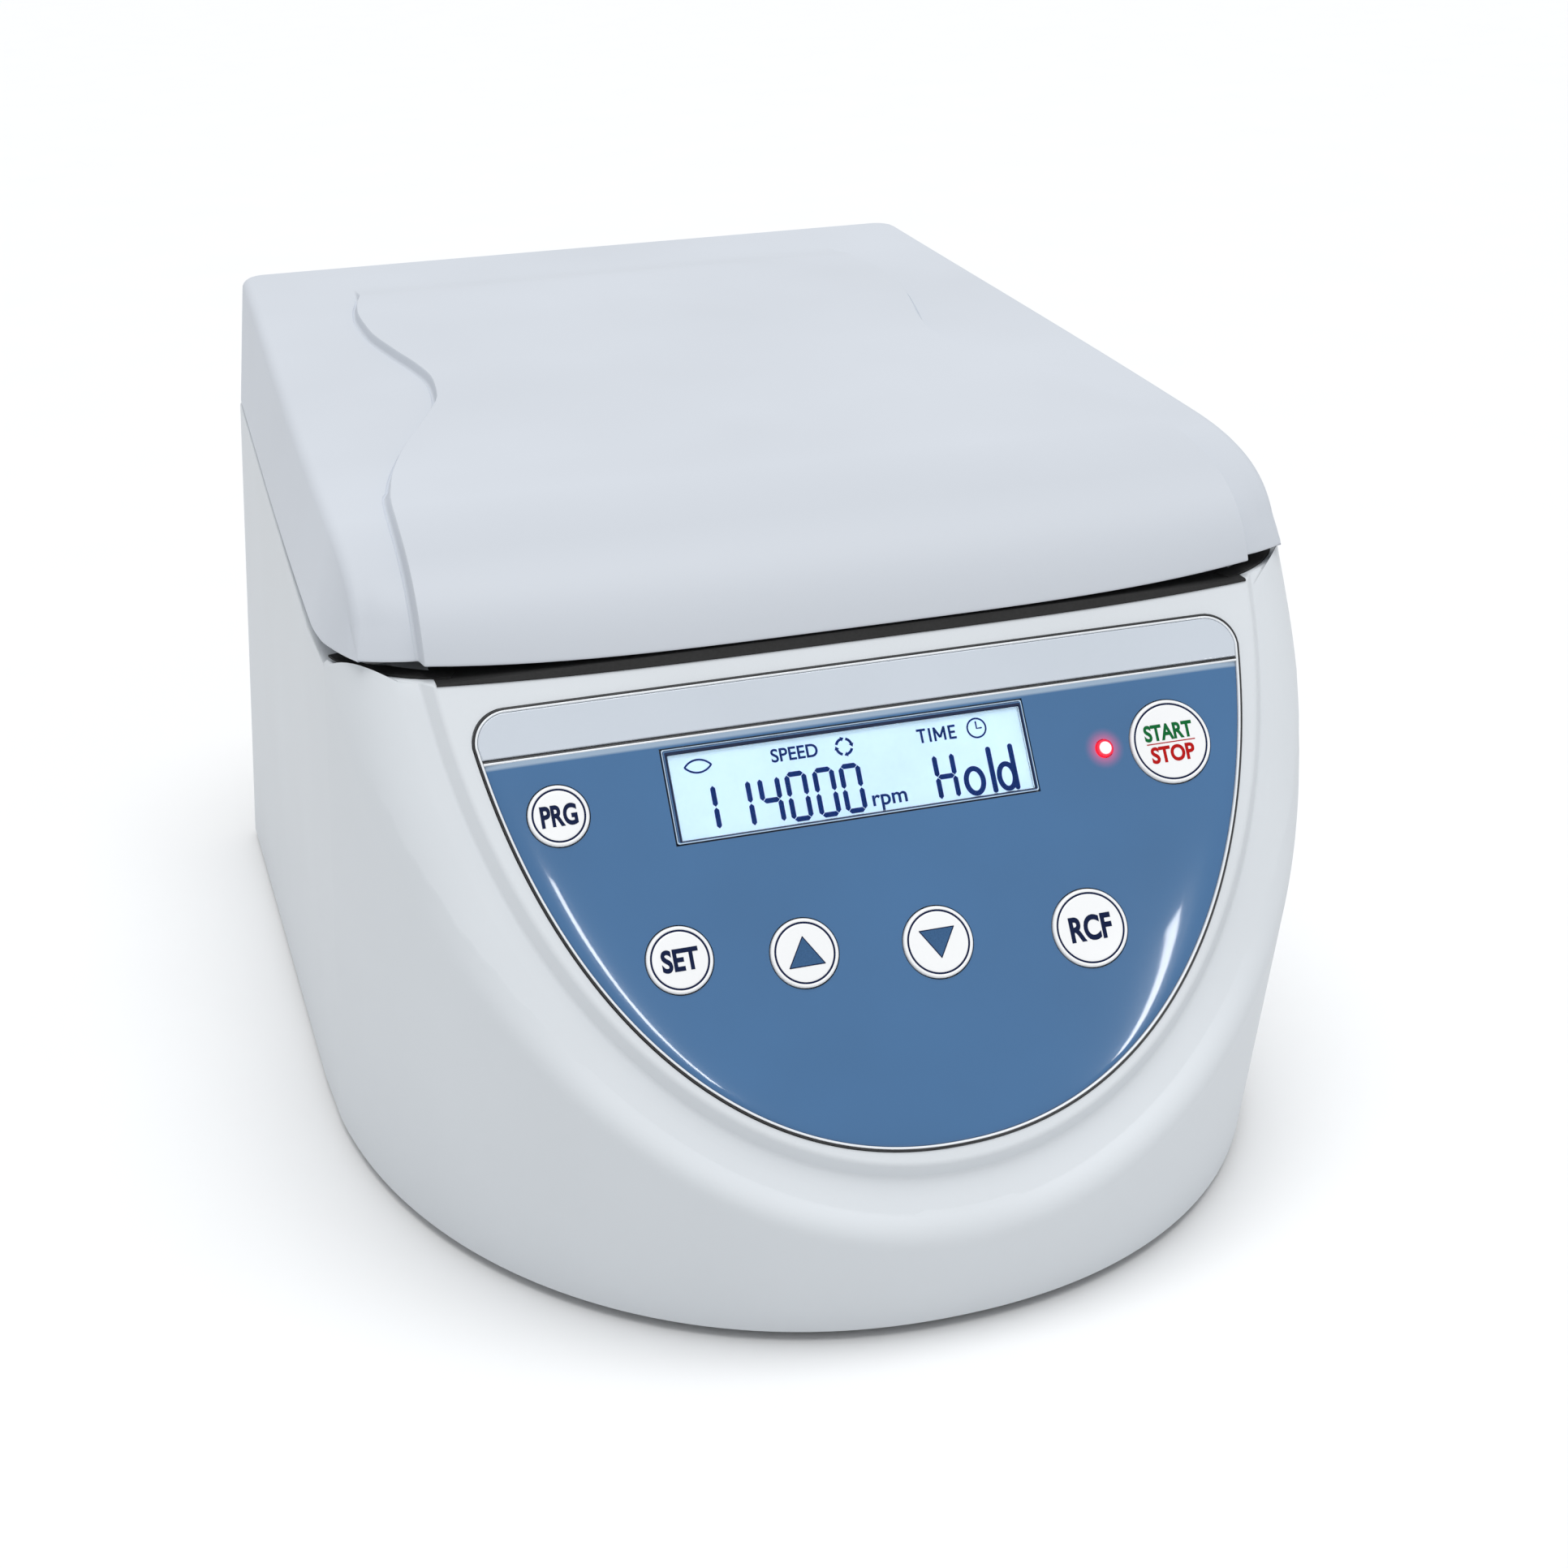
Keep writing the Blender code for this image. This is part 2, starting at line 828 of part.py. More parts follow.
def cut_round_openings(target, low, high):
    for name, (x, down, radius) in buttons.items():
        section = [(0.0, low), (radius + fit_gap, low), (radius + fit_gap, high), (0.0, high)]
        cut(target, panel_turned("cutter_" + name, section, x, down, None, button_round))
    radius = lamp_radius + fit_gap
    section = [(0.0, low), (radius, low), (radius, high), (0.0, high)]
    cut(target, panel_turned("cutter_lamp", section, lamp_x, lamp_down, None, small_round))


def display_outline(margin):
    width = frame_width - 2 * margin
    height = frame_height - 2 * margin
    corners = ((1, -1), (-1, -1), (-1, 1), (1, 1))
    return [(display_x + side * width / 2, display_down + up * height / 2) for side, up in corners]


def make_panel():
    overlay = panel_plate("control_overlay", lower_sheet_outline(strip_low + fit_gap),
                          sheet_seat, sheet_face, "panel_blue")
    opening = panel_plate("cutter_frame", display_outline(-fit_gap), -cut_overrun, cut_overrun)
    cut(overlay, opening)
    cut_round_openings(overlay, -cut_overrun, cut_overrun)
    panel_plate("trim_strip", strip_outline(), sheet_seat, sheet_face, "strip_silver")
    frame_face = sheet_face + frame_rise
    frame = panel_plate("display_frame", display_outline(0.0), sheet_seat, frame_face, "frame_navy")
    cut(frame, panel_plate("cutter_glass", display_outline(frame_band), -cut_overrun, cut_overrun))
    window_face = sheet_face - window_drop
    window_back = window_face - window_thickness
    window = display_outline(frame_band + fit_gap)
    panel_plate("display_window", window, window_back, window_face, "clear_window")
    panel_plate("display_module", display_outline(frame_band + module_margin),
                board_face + fit_gap, window_back - fit_gap, "display_blue")
    for name, (x, down, radius) in buttons.items():
        top = sheet_face + button_rise
        section = [
            (0.0, stem_end), (button_stem_radius, stem_end), (button_stem_radius, flange_back),
            (radius + button_flange, flange_back), (radius + button_flange, flange_face),
            (radius, flange_face), (radius, top - button_edge), (radius - button_edge, top), (0.0, top),
        ]
        panel_turned(name, section, x, down, "button_white", button_round)
    dome = sheet_face + lamp_dome
    low = board_face + fit_gap
    section = [(0.0, low), (lamp_radius, low), (lamp_radius, sheet_face),
               (lamp_radius * lamp_dome_share, sheet_face + lamp_dome * lamp_dome_share), (0.0, dome)]
    panel_turned("led_indicator", section, lamp_x, lamp_down, "lamp_red", small_round)
    outline = [(board_half, board_top), (board_half, board_shoulder), (board_low_half, board_low)]
    outline += [(-x, down) for x, down in reversed(outline)]
    board = panel_plate("control_board", outline, board_face - board_thickness, board_face, "board_green")
    for name, (x, down, radius) in buttons.items():
        low = board_face - board_thickness / 2
        section = [(0.0, low), (switch_pad_radius, low), (switch_pad_radius, pad_top), (0.0, pad_top)]
        join(board, panel_turned("pad_" + name, section, x, down, None, small_round // 2))


def cut_housing(housing):
    pocket = sheet_outline(sheet_half, sheet_start, sheet_low, sheet_top, sheet_corner_radius, fit_gap)
    cut(housing, panel_plate("cutter_pocket", pocket, -pocket_depth, cut_overrun))
    opening = display_outline(frame_band + module_margin - fit_gap)
    cut(housing, panel_plate("cutter_display", opening, -wall - cut_overrun, cut_overrun))
    cut_round_openings(housing, -wall - cut_overrun, cut_overrun)
    low = deck_height(panel_depth) - wall - cut_overrun
    high = deck_rear_height + cut_overrun
    section = [(0.0, low), (chamber_radius, low), (chamber_radius, high), (0.0, high)]
    cut(housing, turned_object("cutter_chamber", section, None, at(0.0, chamber_depth, 0.0), large_round))
    front = lock_depth + striker_width / 2 + lock_slot_clearance
    rear = lock_depth - striker_width / 2 - lock_slot_clearance
    cut(housing, box_object("cutter_lock", (-lock_slot_half, rear, low), (lock_slot_half, front, high)))
    for side, label in ((-1, "left"), (1, "right")):
        near = side * (hinge_x - leaf_thickness / 2 - 2 * fit_gap)
        far = side * (hinge_x + leaf_thickness / 2 + 2 * fit_gap)
        slot = box_object("cutter_bracket_" + label, (near, hinge_depth - eye_radius - fit_gap, low),
                          (far, hinge_depth + eye_radius + 2 * fit_gap, high))
        cut(housing, slot)
    cut(housing, box_object("cutter_rear", (-rear_opening_half, -cut_overrun, rear_opening_low),
                            (rear_opening_half, wall + cut_overrun, rear_opening_high)))


def lid_outlines(inset):
    # Lid plan at its lower edge and at its rear top edge, right half from rear to front
    low = []
    high = []
    for step in range(corner_steps + 1):
        turn = math.pi / 2 * step / corner_steps
        side = lid_rear_corner * (1 - math.sin(turn))
        back = lid_rear_corner * (1 - math.cos(turn))
        low.append((lid_rear_half - inset - side, inset + back))
        high.append((lid_top_rear_half - inset - side, inset + back + lid_top_draft))
    low.append((lid_side_half - inset, lid_side_depth - inset / 2))
    high.append((lid_top_side_half - inset, lid_top_side_depth - inset / 2))
    low.append((lid_chamfer_half - inset, lid_chamfer_depth - inset))
    high.append((lid_top_chamfer_half - inset, lid_top_chamfer_depth - inset))
    low.append((lid_nose_half - inset / 2, lid_nose_depth - inset))
    high.append((lid_top_nose_half - inset / 2, lid_top_nose_depth - inset))
    low.append((0.0, lid_front_depth - inset))
    high.append((0.0, lid_front_depth - inset))
    return low, high


def lid_plan(name, inset, low_height, finish=None):
    # Straight loft between the two plans, carried on below and above them
    low, high = lid_outlines(inset)
    rings = []
    for height in (low_height, lid_top_height + cut_overrun):
        share = (height - lid_low_height) / (lid_top_height - lid_low_height)
        half = [(mix(a[0], b[0], share), mix(a[1], b[1], share)) for a, b in zip(low, high)]
        around = mirrored(half)
        rings.append([at(x, depth, height) for x, depth in around])
    return add_object(name, loft(rings), finish)


def top_line(depth):
    return lid_top_height - lid_fall * depth


def lid_profile(rise, knee, reach, front, inset, low_height):
    # Side view of the lid: rear edge rounded about the hinge, flat top, curved front
    hinge = (hinge_depth, hinge_height)
    points = circle_outline(hinge, hinge_rise - inset, 1.5 * math.pi, math.pi, bend_steps)
    corner_top = top_line(0.0) + rise - inset
    centre = (lid_rear_round, corner_top - lid_rear_round)
    points += circle_outline(centre, lid_rear_round - inset, math.pi, math.pi / 2, bend_steps // 2)
    start = (knee, top_line(knee) + rise - inset)
    corner = (knee + reach, top_line(knee + reach) + rise - inset)
    points += bend(start, corner, (front - inset, lid_low_height), bend_steps)
    if low_height < lid_low_height:
        points += [(front - inset, low_height), (hinge_depth, low_height)]
    return points


def raised_outline():
    # Right half of the raised centre, a soft S between the rear, the waist and the front
    points = [(raised_rear_half, raised_rear_depth)]
    shoulder = (raised_shoulder_half, raised_shoulder_depth)
    waist = (raised_waist_half, raised_waist_depth)
    front = (raised_front_half, raised_front_depth + cut_overrun)
    points.append(shoulder)
    middle = (mix(shoulder[0], waist[0], half_share), mix(shoulder[1], waist[1], half_share))
    corner = (shoulder[0], mix(shoulder[1], middle[1], shoulder_pull_share))
    points += bend(shoulder, corner, middle, bend_steps // 2)[1:]
    corner = (waist[0], mix(waist[1], middle[1], waist_pull_share))
    points += bend(middle, corner, waist, bend_steps // 2)[1:]
    flare = (mix(waist[0], front[0], flare_side_share), mix(waist[1], front[1], flare_depth_share))
    corner = (waist[0], mix(waist[1], flare[1], flare_pull_share))
    points += bend(waist, corner, flare, bend_steps // 2)[1:]
    lip = (mix(waist[0], front[0], lip_side_share), mix(waist[1], front[1], lip_depth_share))
    corner = (mix(flare[0], lip[0], lip_side_pull_share), mix(flare[1], lip[1], lip_depth_pull_share))
    points += bend(flare, corner, lip, bend_steps // 2)[1:]
    points.append(front)
    return points


def make_lid_shell():
    lid = lid_plan("lid_shell", 0.0, lid_low_height - cut_overrun, "lid_white")
    profile = lid_profile(0.0, knee_depth, knee_reach, lid_front_depth, 0.0, lid_low_height)
    wide = lid_side_half + cut_overrun
    keep(lid, side_plate("keeper_lid", profile, -wide, wide))
    half = raised_outline()
    outline = half + [(-x, depth) for x, depth in reversed(half)]
    inner = lid_wall / 2
    rings = [[at(x, depth, height) for x, depth in outline]
             for height in (lid_low_height - cut_overrun, lid_top_height + cut_overrun)]
    raised = add_object("raised_centre", loft(rings), None)
    start = (raised_knee_depth, top_line(raised_knee_depth) + raised_rise)
    corner_depth = raised_knee_depth + raised_reach
    corner = (corner_depth, top_line(corner_depth) + raised_rise)
    over = bend(start, corner, (raised_front_depth, lid_low_height), bend_steps)
    under = bend((knee_depth, top_line(knee_depth) - inner),
                 (knee_depth + knee_reach, top_line(knee_depth + knee_reach) - inner),
                 (lid_front_depth - inner, lid_low_height), bend_steps)
    slab = [(raised_rear_depth - cut_overrun, top_line(raised_rear_depth) - inner)]
    slab += [(raised_rear_depth, top_line(raised_rear_depth) - fit_gap)]
    slab += [(raised_full_depth, top_line(raised_full_depth) + raised_rise)]
    slab += over + list(reversed(under))
    keep(raised, side_plate("keeper_raised", slab, -wide, wide))
    join(lid, raised)
    cavity = lid_plan("cavity_lid", lid_wall, lid_low_height - cut_overrun)
    below = lid_low_height - cut_overrun
    hollow = lid_profile(0.0, knee_depth, knee_reach, lid_front_depth, lid_wall, below)
    keep(cavity, side_plate("keeper_cavity", hollow, -wide, wide))
    cut(lid, cavity)
    for side, label in ((-1, "left"), (1, "right")):
        near = side * (hinge_x - leaf_thickness / 2 - leaf_side_gap)
        far = side * (hinge_x + leaf_thickness / 2 + leaf_side_gap)
        slot = box_object("cutter_lid_slot_" + label, (near, -cut_overrun, lid_low_height - cut_overrun),
                          (far, liner_rear_depth, lid_low_height + slot_height))
        cut(lid, slot)
    return lid


def make_liner():
    top = lid_low_height + liner_drop + liner_thickness
    bottom = lid_low_height + liner_drop
    side = lid_rear_half - liner_side_inset
    half = [(side, liner_rear_depth), (side, liner_front_depth - liner_corner),
            (side - liner_corner, liner_front_depth)]
    outline = half + [(-x, depth) for x, depth in reversed(half)]
    rings = [[at(x, depth, height) for x, depth in outline] for height in (bottom, top)]
    liner = add_object("lid_liner", loft(rings), "liner_grey")
    low = bottom - dome_drop
    middle = top - liner_thickness / 2
    section = [(0.0, low), (dome_radius - liner_thickness, low), (dome_radius, low + liner_thickness),
               (dome_radius, middle), (0.0, middle)]
    join(liner, turned_object("liner_dome", section, None, at(0.0, chamber_depth, 0.0), large_round))
    return liner


def eye_plate(name, low_x, high_x, tail, finish):
    # Round eye about the hinge rod with a straight tail, bored for the rod
    plate = side_plate(name, tail, low_x, high_x, finish)
    eye = rod_along_x("eye_" + name, eye_radius, low_x, high_x, hinge_depth, hinge_height, None, round_steps)
    join(plate, eye)
    bore = rod_along_x("bore_" + name, rod_radius + fit_gap, low_x - cut_overrun, high_x + cut_overrun,
                       hinge_depth, hinge_height, None, small_round)
    cut(plate, bore)
    return plate


def make_hinge():
    inner = liner_rear_depth
    for side, label in ((-1, "left"), (1, "right")):
        faces = sorted((side * (hinge_x - leaf_thickness / 2), side * (hinge_x + leaf_thickness / 2)))
        deck_low = deck_height(bracket_flange_depth) - wall - fit_gap
        tail = [(hinge_depth - eye_radius, hinge_height), (hinge_depth - eye_radius, deck_low),
                (hinge_depth + eye_radius, deck_low), (hinge_depth + eye_radius, hinge_height)]
        bracket = eye_plate("hinge_bracket_" + label, faces[0], faces[1], tail, "bright_steel")
        flange_low = deck_low - bracket_flange_thickness
        centre = side * hinge_x
        flange = box_object("flange_" + label,
                            (centre - bracket_flange_half, hinge_depth - eye_radius, flange_low),
                            (centre + bracket_flange_half, bracket_flange_depth, deck_low))
        join(bracket, flange)
        arm_centre = hinge_x - leaf_thickness - leaf_side_gap
        faces = sorted((side * (arm_centre - leaf_thickness / 2), side * (arm_centre + leaf_thickness / 2)))
        low = lid_low_height + liner_drop + liner_thickness + fit_gap
        tail = [(hinge_depth, low), (inner + arm_length, low), (inner + arm_length, low + arm_height),
                (hinge_depth, low + arm_height)]
        eye_plate("lid_hinge_arm_" + label, faces[0], faces[1], tail, "bright_steel")
    reach = hinge_x + rod_overhang
    rod_along_x("hinge_rod", rod_radius, -reach, reach, hinge_depth, hinge_height, "bright_steel")


def make_lock():
    top = lid_low_height + liner_drop - fit_gap
    low = top - striker_reach
    rear = lock_depth - striker_width / 2
    front = lock_depth + striker_width / 2
    outline = [(rear, top), (front, top), (front, low + striker_corner), (front - striker_corner, low),
               (rear + striker_corner, low), (rear, low + striker_corner)]
    face = striker_thickness / 2
    striker = side_plate("lock_striker", outline, -face, face, "bright_steel")
    bolt_height = low + striker_corner + striker_hole_radius
    cut(striker, rod_along_x("bore_striker", striker_hole_radius, -cut_overrun, cut_overrun,
                             lock_depth, bolt_height, None, round_steps // 2))
    body_top = deck_height(lock_depth + lock_body_width / 2) - wall - fit_gap
    body = box_object("lock_solenoid",
                      (lock_body_x, lock_depth - lock_body_width / 2, body_top - lock_body_height),
                      (lock_body_x + lock_body_length, lock_depth + lock_body_width / 2, body_top),
                      "dark_steel")
    end = lock_body_x + lock_body_length
    join(body, rod_along_x("pole_lock", lock_pole_radius, end - lock_pole_length, end + lock_pole_length,
                           lock_depth, bolt_height, None))
    cut(body, rod_along_x("bore_lock", lock_bolt_radius + fit_gap, lock_body_x - cut_overrun,
                          lock_body_x + lock_bore_length, lock_depth, bolt_height, None))
    rod_along_x("lock_bolt", lock_bolt_radius, lock_bolt_tip_x, lock_bolt_tip_x + lock_bolt_length,
                lock_depth, bolt_height, "bright_steel")


def make_deck_rubber():
    turn = (math.atan(deck_slope), 0.0, 0.0)
    inner = chamber_radius + fit_gap
    section = [(inner, fit_gap), (inner + gasket_width, fit_gap),
               (inner + gasket_width, fit_gap + gasket_height), (inner, fit_gap + gasket_height)]
    turned_object("chamber_gasket", section, "black_rubber",
                  at(0.0, chamber_depth, deck_height(chamber_depth)), large_round, turn)
    rear = front_seal_depth - front_seal_width
    front = front_seal_depth
    outline = [(rear, deck_height(rear) + fit_gap), (front, deck_height(front) + fit_gap),
               (front, deck_height(front) + front_seal_height),
               (rear, deck_height(rear) + front_seal_height)]
    side_plate("front_seal", outline, -front_seal_half, front_seal_half, "black_rubber")
    for side, label in ((-1, "left"), (1, "right")):
        section = [(0.0, fit_gap), (buffer_radius, fit_gap), (buffer_radius, buffer_height),
                   (0.0, buffer_height)]
        turned_object("lid_buffer_" + label, section, "grey_rubber",
                      at(side * buffer_x, buffer_depth, deck_height(buffer_depth)), small_round, turn)


def make_bowl():
    outer = bowl_radius + bowl_wall
    floor = bowl_floor_height
    bend_out = circle_outline((outer - bowl_corner, floor - bowl_wall + bowl_corner), bowl_corner,
                              -math.pi / 2, 0.0, corner_steps)
    inner_corner = bowl_corner - bowl_wall
    bend_in = circle_outline((bowl_radius - inner_corner, floor + inner_corner), inner_corner,
                             0.0, -math.pi / 2, corner_steps)
    section = [(bowl_hole_radius, floor - bowl_wall)] + bend_out
    section += [(outer, bowl_top_height - bowl_wall), (outer + bowl_flange, bowl_top_height - bowl_wall),
                (outer + bowl_flange, bowl_top_height), (bowl_radius, bowl_top_height)]
    section += bend_in + [(bowl_hole_radius, floor)]
    turned_object("chamber_bowl", section, "bright_steel", at(0.0, chamber_depth, 0.0), large_round)


def make_rotor():
    bore = spindle_radius + fit_gap
    slope_low = rotor_height - (rotor_radius - rotor_rim_width - rotor_dish_radius)
    section = [
        (bore, 0.0), (rotor_foot_radius, 0.0), (rotor_radius, rotor_skirt), (rotor_radius, rotor_height),
        (rotor_radius - rotor_rim_width, rotor_height), (rotor_dish_radius, max(slope_low, rotor_floor)),
        (rotor_hub_radius, rotor_floor), (rotor_hub_top_radius, rotor_hub_height), (bore, rotor_hub_height),
    ]
    base = at(0.0, chamber_depth, rotor_base_height)
    rotor = turned_object("rotor", section, "aluminium", base, 2 * round_steps - 4)
    face_height = slope_low + place_circle - rotor_dish_radius
    for index in range(place_count):
        around = 2 * math.pi * (index + half_share) / place_count
        mouth = [(0.0, -place_length), (place_radius, -place_length), (place_radius, place_length / 2),
                 (0.0, place_length / 2)]
        centre = Vector((place_circle * math.cos(around), place_circle * math.sin(around), face_height))
        tilt = Matrix.Rotation(around, 4, "Z") @ Matrix.Rotation(-math.pi / 4, 4, "Y")
        tool = turned_object("cutter_place_%02d" % (index + 1), mouth, None, base + centre, small_round - 6,
                             tilt.to_euler())
        cut(rotor, tool)
    section = [(0.0, spindle_low_height), (spindle_radius, spindle_low_height),
               (spindle_radius, spindle_end_height), (0.0, spindle_end_height)]
    turned_object("rotor_spindle", section, "bright_steel", at(0.0, chamber_depth, 0.0), small_round)
    make_rotor_nut(bore)


def make_rotor_nut(bore):
    low = rotor_base_height + rotor_hub_height + fit_gap
    rings = []
    count = 4 * nut_grooves
    for level in (0.0, nut_height - 2 * nut_groove, nut_height):
        inset = 2 * nut_groove if level == nut_height else 0.0
        ring = []
        for index in range(count):
            angle = 2 * math.pi * index / count
            radius = nut_radius - inset - (nut_groove if index % 4 == 0 else 0.0)
            ring.append(Vector((radius * math.cos(angle), radius * math.sin(angle), level)))
        rings.append(ring)
    nut = add_object("rotor_nut", loft(rings), "dark_steel", at(0.0, chamber_depth, low))
    section = [(0.0, -cut_overrun), (bore, -cut_overrun), (bore, nut_thread_length),
               (0.0, nut_thread_length)]
    cut(nut, turned_object("bore_nut", section, None, at(0.0, chamber_depth, low), small_round))


def make_drive():
    place = at(0.0, chamber_depth, 0.0)
    top = motor_top_height
    boss_top = top + motor_cap_height + motor_boss_height
    bore = spindle_radius + fit_gap
    bore_low = boss_top - motor_bore_length
    section = [
        (0.0, motor_low_height), (motor_radius, motor_low_height), (motor_radius, top),
        (motor_cap_radius, top), (motor_cap_radius, top + motor_cap_height),
        (motor_boss_radius, top + motor_cap_height), (motor_boss_radius, boss_top), (bore, boss_top),
        (bore, bore_low), (0.0, bore_low),
    ]
    turned_object("motor", section, "dark_steel", place)
    carrier_top = motor_low_height - fit_gap
    carrier_low = carrier_top - carrier_thickness
    section = [(0.0, carrier_low), (carrier_radius, carrier_low), (carrier_radius, carrier_top),
               (0.0, carrier_top)]
    turned_object("motor_carrier", section, "aluminium", place)
    low = floor_height + floor_thickness + fit_gap
    high = carrier_low - fit_gap
    middle = (low + high) / 2
    for index in range(damper_count):
        around = 2 * math.pi * index / damper_count - math.pi / 2
        section = [(0.0, low), (damper_radius, low), (damper_radius - damper_waist, middle),
                   (damper_radius, high), (0.0, high)]
        spot = place + Vector((damper_circle * math.cos(around), damper_circle * math.sin(around), 0.0))
        turned_object("motor_damper_%d" % (index + 1), section, "black_rubber", spot, small_round)
    section = [(bore + seal_clearance, boss_top + fit_gap), (seal_radius, boss_top + fit_gap),
               (seal_radius, boss_top + seal_height), (bore + seal_clearance, boss_top + seal_height)]
    turned_object("spindle_seal", section, "black_rubber", place, small_round)


def make_floor():
    half = []
    for step in range(corner_steps + 1):
        x, depth = rear_point(math.pi / 2 * step / corner_steps, 0.0)
        half.append((x - floor_inset, depth + floor_inset))
    half.append((base_side_half - floor_inset, base_side_depth))
    for step in range(1, outline_steps // 2 + 1):
        angle = math.pi * step / outline_steps
        x, depth = wall_point(angle, 0.0)
        x -= floor_inset * math.cos(angle)
        half.append((x if step < outline_steps // 2 else 0.0, depth - floor_inset * math.sin(angle)))
    outline = mirrored(half)
    rings = [[at(x, depth, height) for x, depth in outline]
             for height in (floor_height, floor_height + floor_thickness)]
    add_object("base_plate", loft(rings), "dark_steel")
    top = floor_height - fit_gap
    section = [(0.0, -foot_drop), (foot_radius - foot_taper, -foot_drop), (foot_radius, top), (0.0, top)]
    spots = (("front_left", -front_foot_x, front_foot_depth),
             ("front_right", front_foot_x, front_foot_depth),
             ("rear_left", -rear_foot_x, rear_foot_depth),
             ("rear_right", rear_foot_x, rear_foot_depth))
    for label, x, depth in spots:
        turned_object("foot_" + label, section, "black_rubber", at(x, depth, 0.0), small_round)


def rear_block(name, x, height, wide, tall, near, far, finish=None):
    # A block on the rear panel, centred on x and height, between two depths
    low = (x - wide / 2, near, height - tall / 2)
    high = (x + wide / 2, far, height + tall / 2)
    return box_object(name, low, high, finish)


def make_rear_panel():
    near = wall + fit_gap
    far = near + rear_panel_thickness
    side = rear_opening_half + rear_panel_overlap
    panel = box_object("rear_panel", (-side, near, rear_opening_low - rear_panel_overlap),
                       (side, far, rear_opening_high + rear_panel_overlap), "dark_steel")
    back = far + cut_overrun
    for index in range(vent_count):
        x = vent_first_x - index * vent_pitch
        label = "cutter_vent_%d" % (index + 1)
        cut(panel, rear_block(label, x, inlet_height, vent_width, vent_height, 0.0, back))
    cut(panel, rear_block("cutter_inlet", inlet_x, inlet_height, inlet_body_width + 2 * fit_gap,
                          inlet_body_height + 2 * fit_gap, 0.0, back))
    cut(panel, rear_block("cutter_mains", mains_x, mains_height, mains_body_width + 2 * fit_gap,
                          mains_body_height + 2 * fit_gap, 0.0, back))
    flange_far = near - fit_gap
    flange_near = flange_far - inlet_flange_thickness
    inlet = rear_block("power_inlet", inlet_x, inlet_height, inlet_body_width, inlet_body_height,
                       flange_near, flange_near + inlet_body_length, "black_plastic")
    join(inlet, rear_block("flange_inlet", inlet_x, inlet_height, inlet_flange_width, inlet_flange_height,
                           flange_near, flange_far))
    floor = flange_near + inlet_mouth_length
    cut(inlet, rear_block("mouth_inlet", inlet_x, inlet_height, inlet_mouth_width, inlet_mouth_height,
                          -cut_overrun, floor))
    pins = (("line", -pin_spacing, -pin_lift / 2), ("neutral", pin_spacing, -pin_lift / 2),
            ("earth", 0.0, pin_lift))
    for label, shift, lift in pins:
        rear_block("inlet_pin_" + label, inlet_x + shift, inlet_height + lift, pin_width, pin_height,
                   floor - fit_gap - pin_length, floor - fit_gap, "bright_steel")
    mains = rear_block("mains_switch_frame", mains_x, mains_height, mains_body_width, mains_body_height,
                       flange_near, flange_near + mains_body_length, "black_plastic")
    join(mains, rear_block("flange_mains", mains_x, mains_height, mains_flange_width, mains_flange_height,
                           flange_near, flange_far))
    cut(mains, rear_block("mouth_mains", mains_x, mains_height, mains_mouth_width, mains_mouth_height,
                          -cut_overrun, flange_near + mains_mouth_length))
    profile = [(rocker_end, rocker_half), (rocker_centre, 0.0), (rocker_end, -rocker_half),
               (-rocker_keel, -rocker_keel_half), (-rocker_keel, rocker_keel_half)]
    turn = Matrix.Rotation(rocker_tilt, 2)
    outline = []
    for out, up in profile:
        moved = turn @ Vector((out, up))
        outline.append((rocker_pivot_depth - moved.x, mains_height + moved.y))
    left = mains_x - rocker_width / 2
    side_plate("mains_rocker", outline, left, left + rocker_width, "black_plastic")


def make_power_board():
    low = floor_height + floor_thickness + fit_gap
    board_low_height = low + standoff_height
    left = power_board_x - power_board_width / 2
    right = power_board_x + power_board_width / 2
    rear = power_board_depth - power_board_length / 2
    front = power_board_depth + power_board_length / 2
    top = board_low_height + power_board_thickness
    board = box_object("power_board", (left, rear, board_low_height), (right, front, top), "board_green")
    section = [(0.0, low), (standoff_radius, low), (standoff_radius, top - power_board_thickness / 2),
               (0.0, top - power_board_thickness / 2)]
    corners = [(x, depth) for x in (left + standoff_inset, right - standoff_inset)
               for depth in (rear + standoff_inset, front - standoff_inset)]
    for index, (x, depth) in enumerate(corners):
        label = "standoff_%d" % (index + 1)
        join(board, turned_object(label, section, None, at(x, depth, 0.0), small_round // 2))
    middle = top - power_board_thickness / 2
    section = [(0.0, middle), (coil_radius, middle), (coil_radius, top + coil_height),
               (0.0, top + coil_height)]
    join(board, turned_object("coil", section, None, at(power_board_x + coil_x, power_board_depth, 0.0),
                              small_round))
    centre = power_board_x + heat_sink_x
    near = power_board_depth - heat_sink_depth / 2
    far = power_board_depth + heat_sink_depth / 2
    join(board, box_object("heat_sink", (centre - heat_sink_width / 2, near, middle),
                           (centre + heat_sink_width / 2, far, top + heat_sink_height)))


def hold_by_axis(label, place, names):
    # An empty on the joint's axis carries the pieces that move about it
    axis = bpy.data.objects.new(label, None)
    bpy.context.scene.collection.objects.link(axis)
    axis.location = place
    back = Matrix.Translation(place).inverted()
    for name in names:
        piece = bpy.data.objects[name]
        piece.parent = axis
        piece.matrix_parent_inverse = back


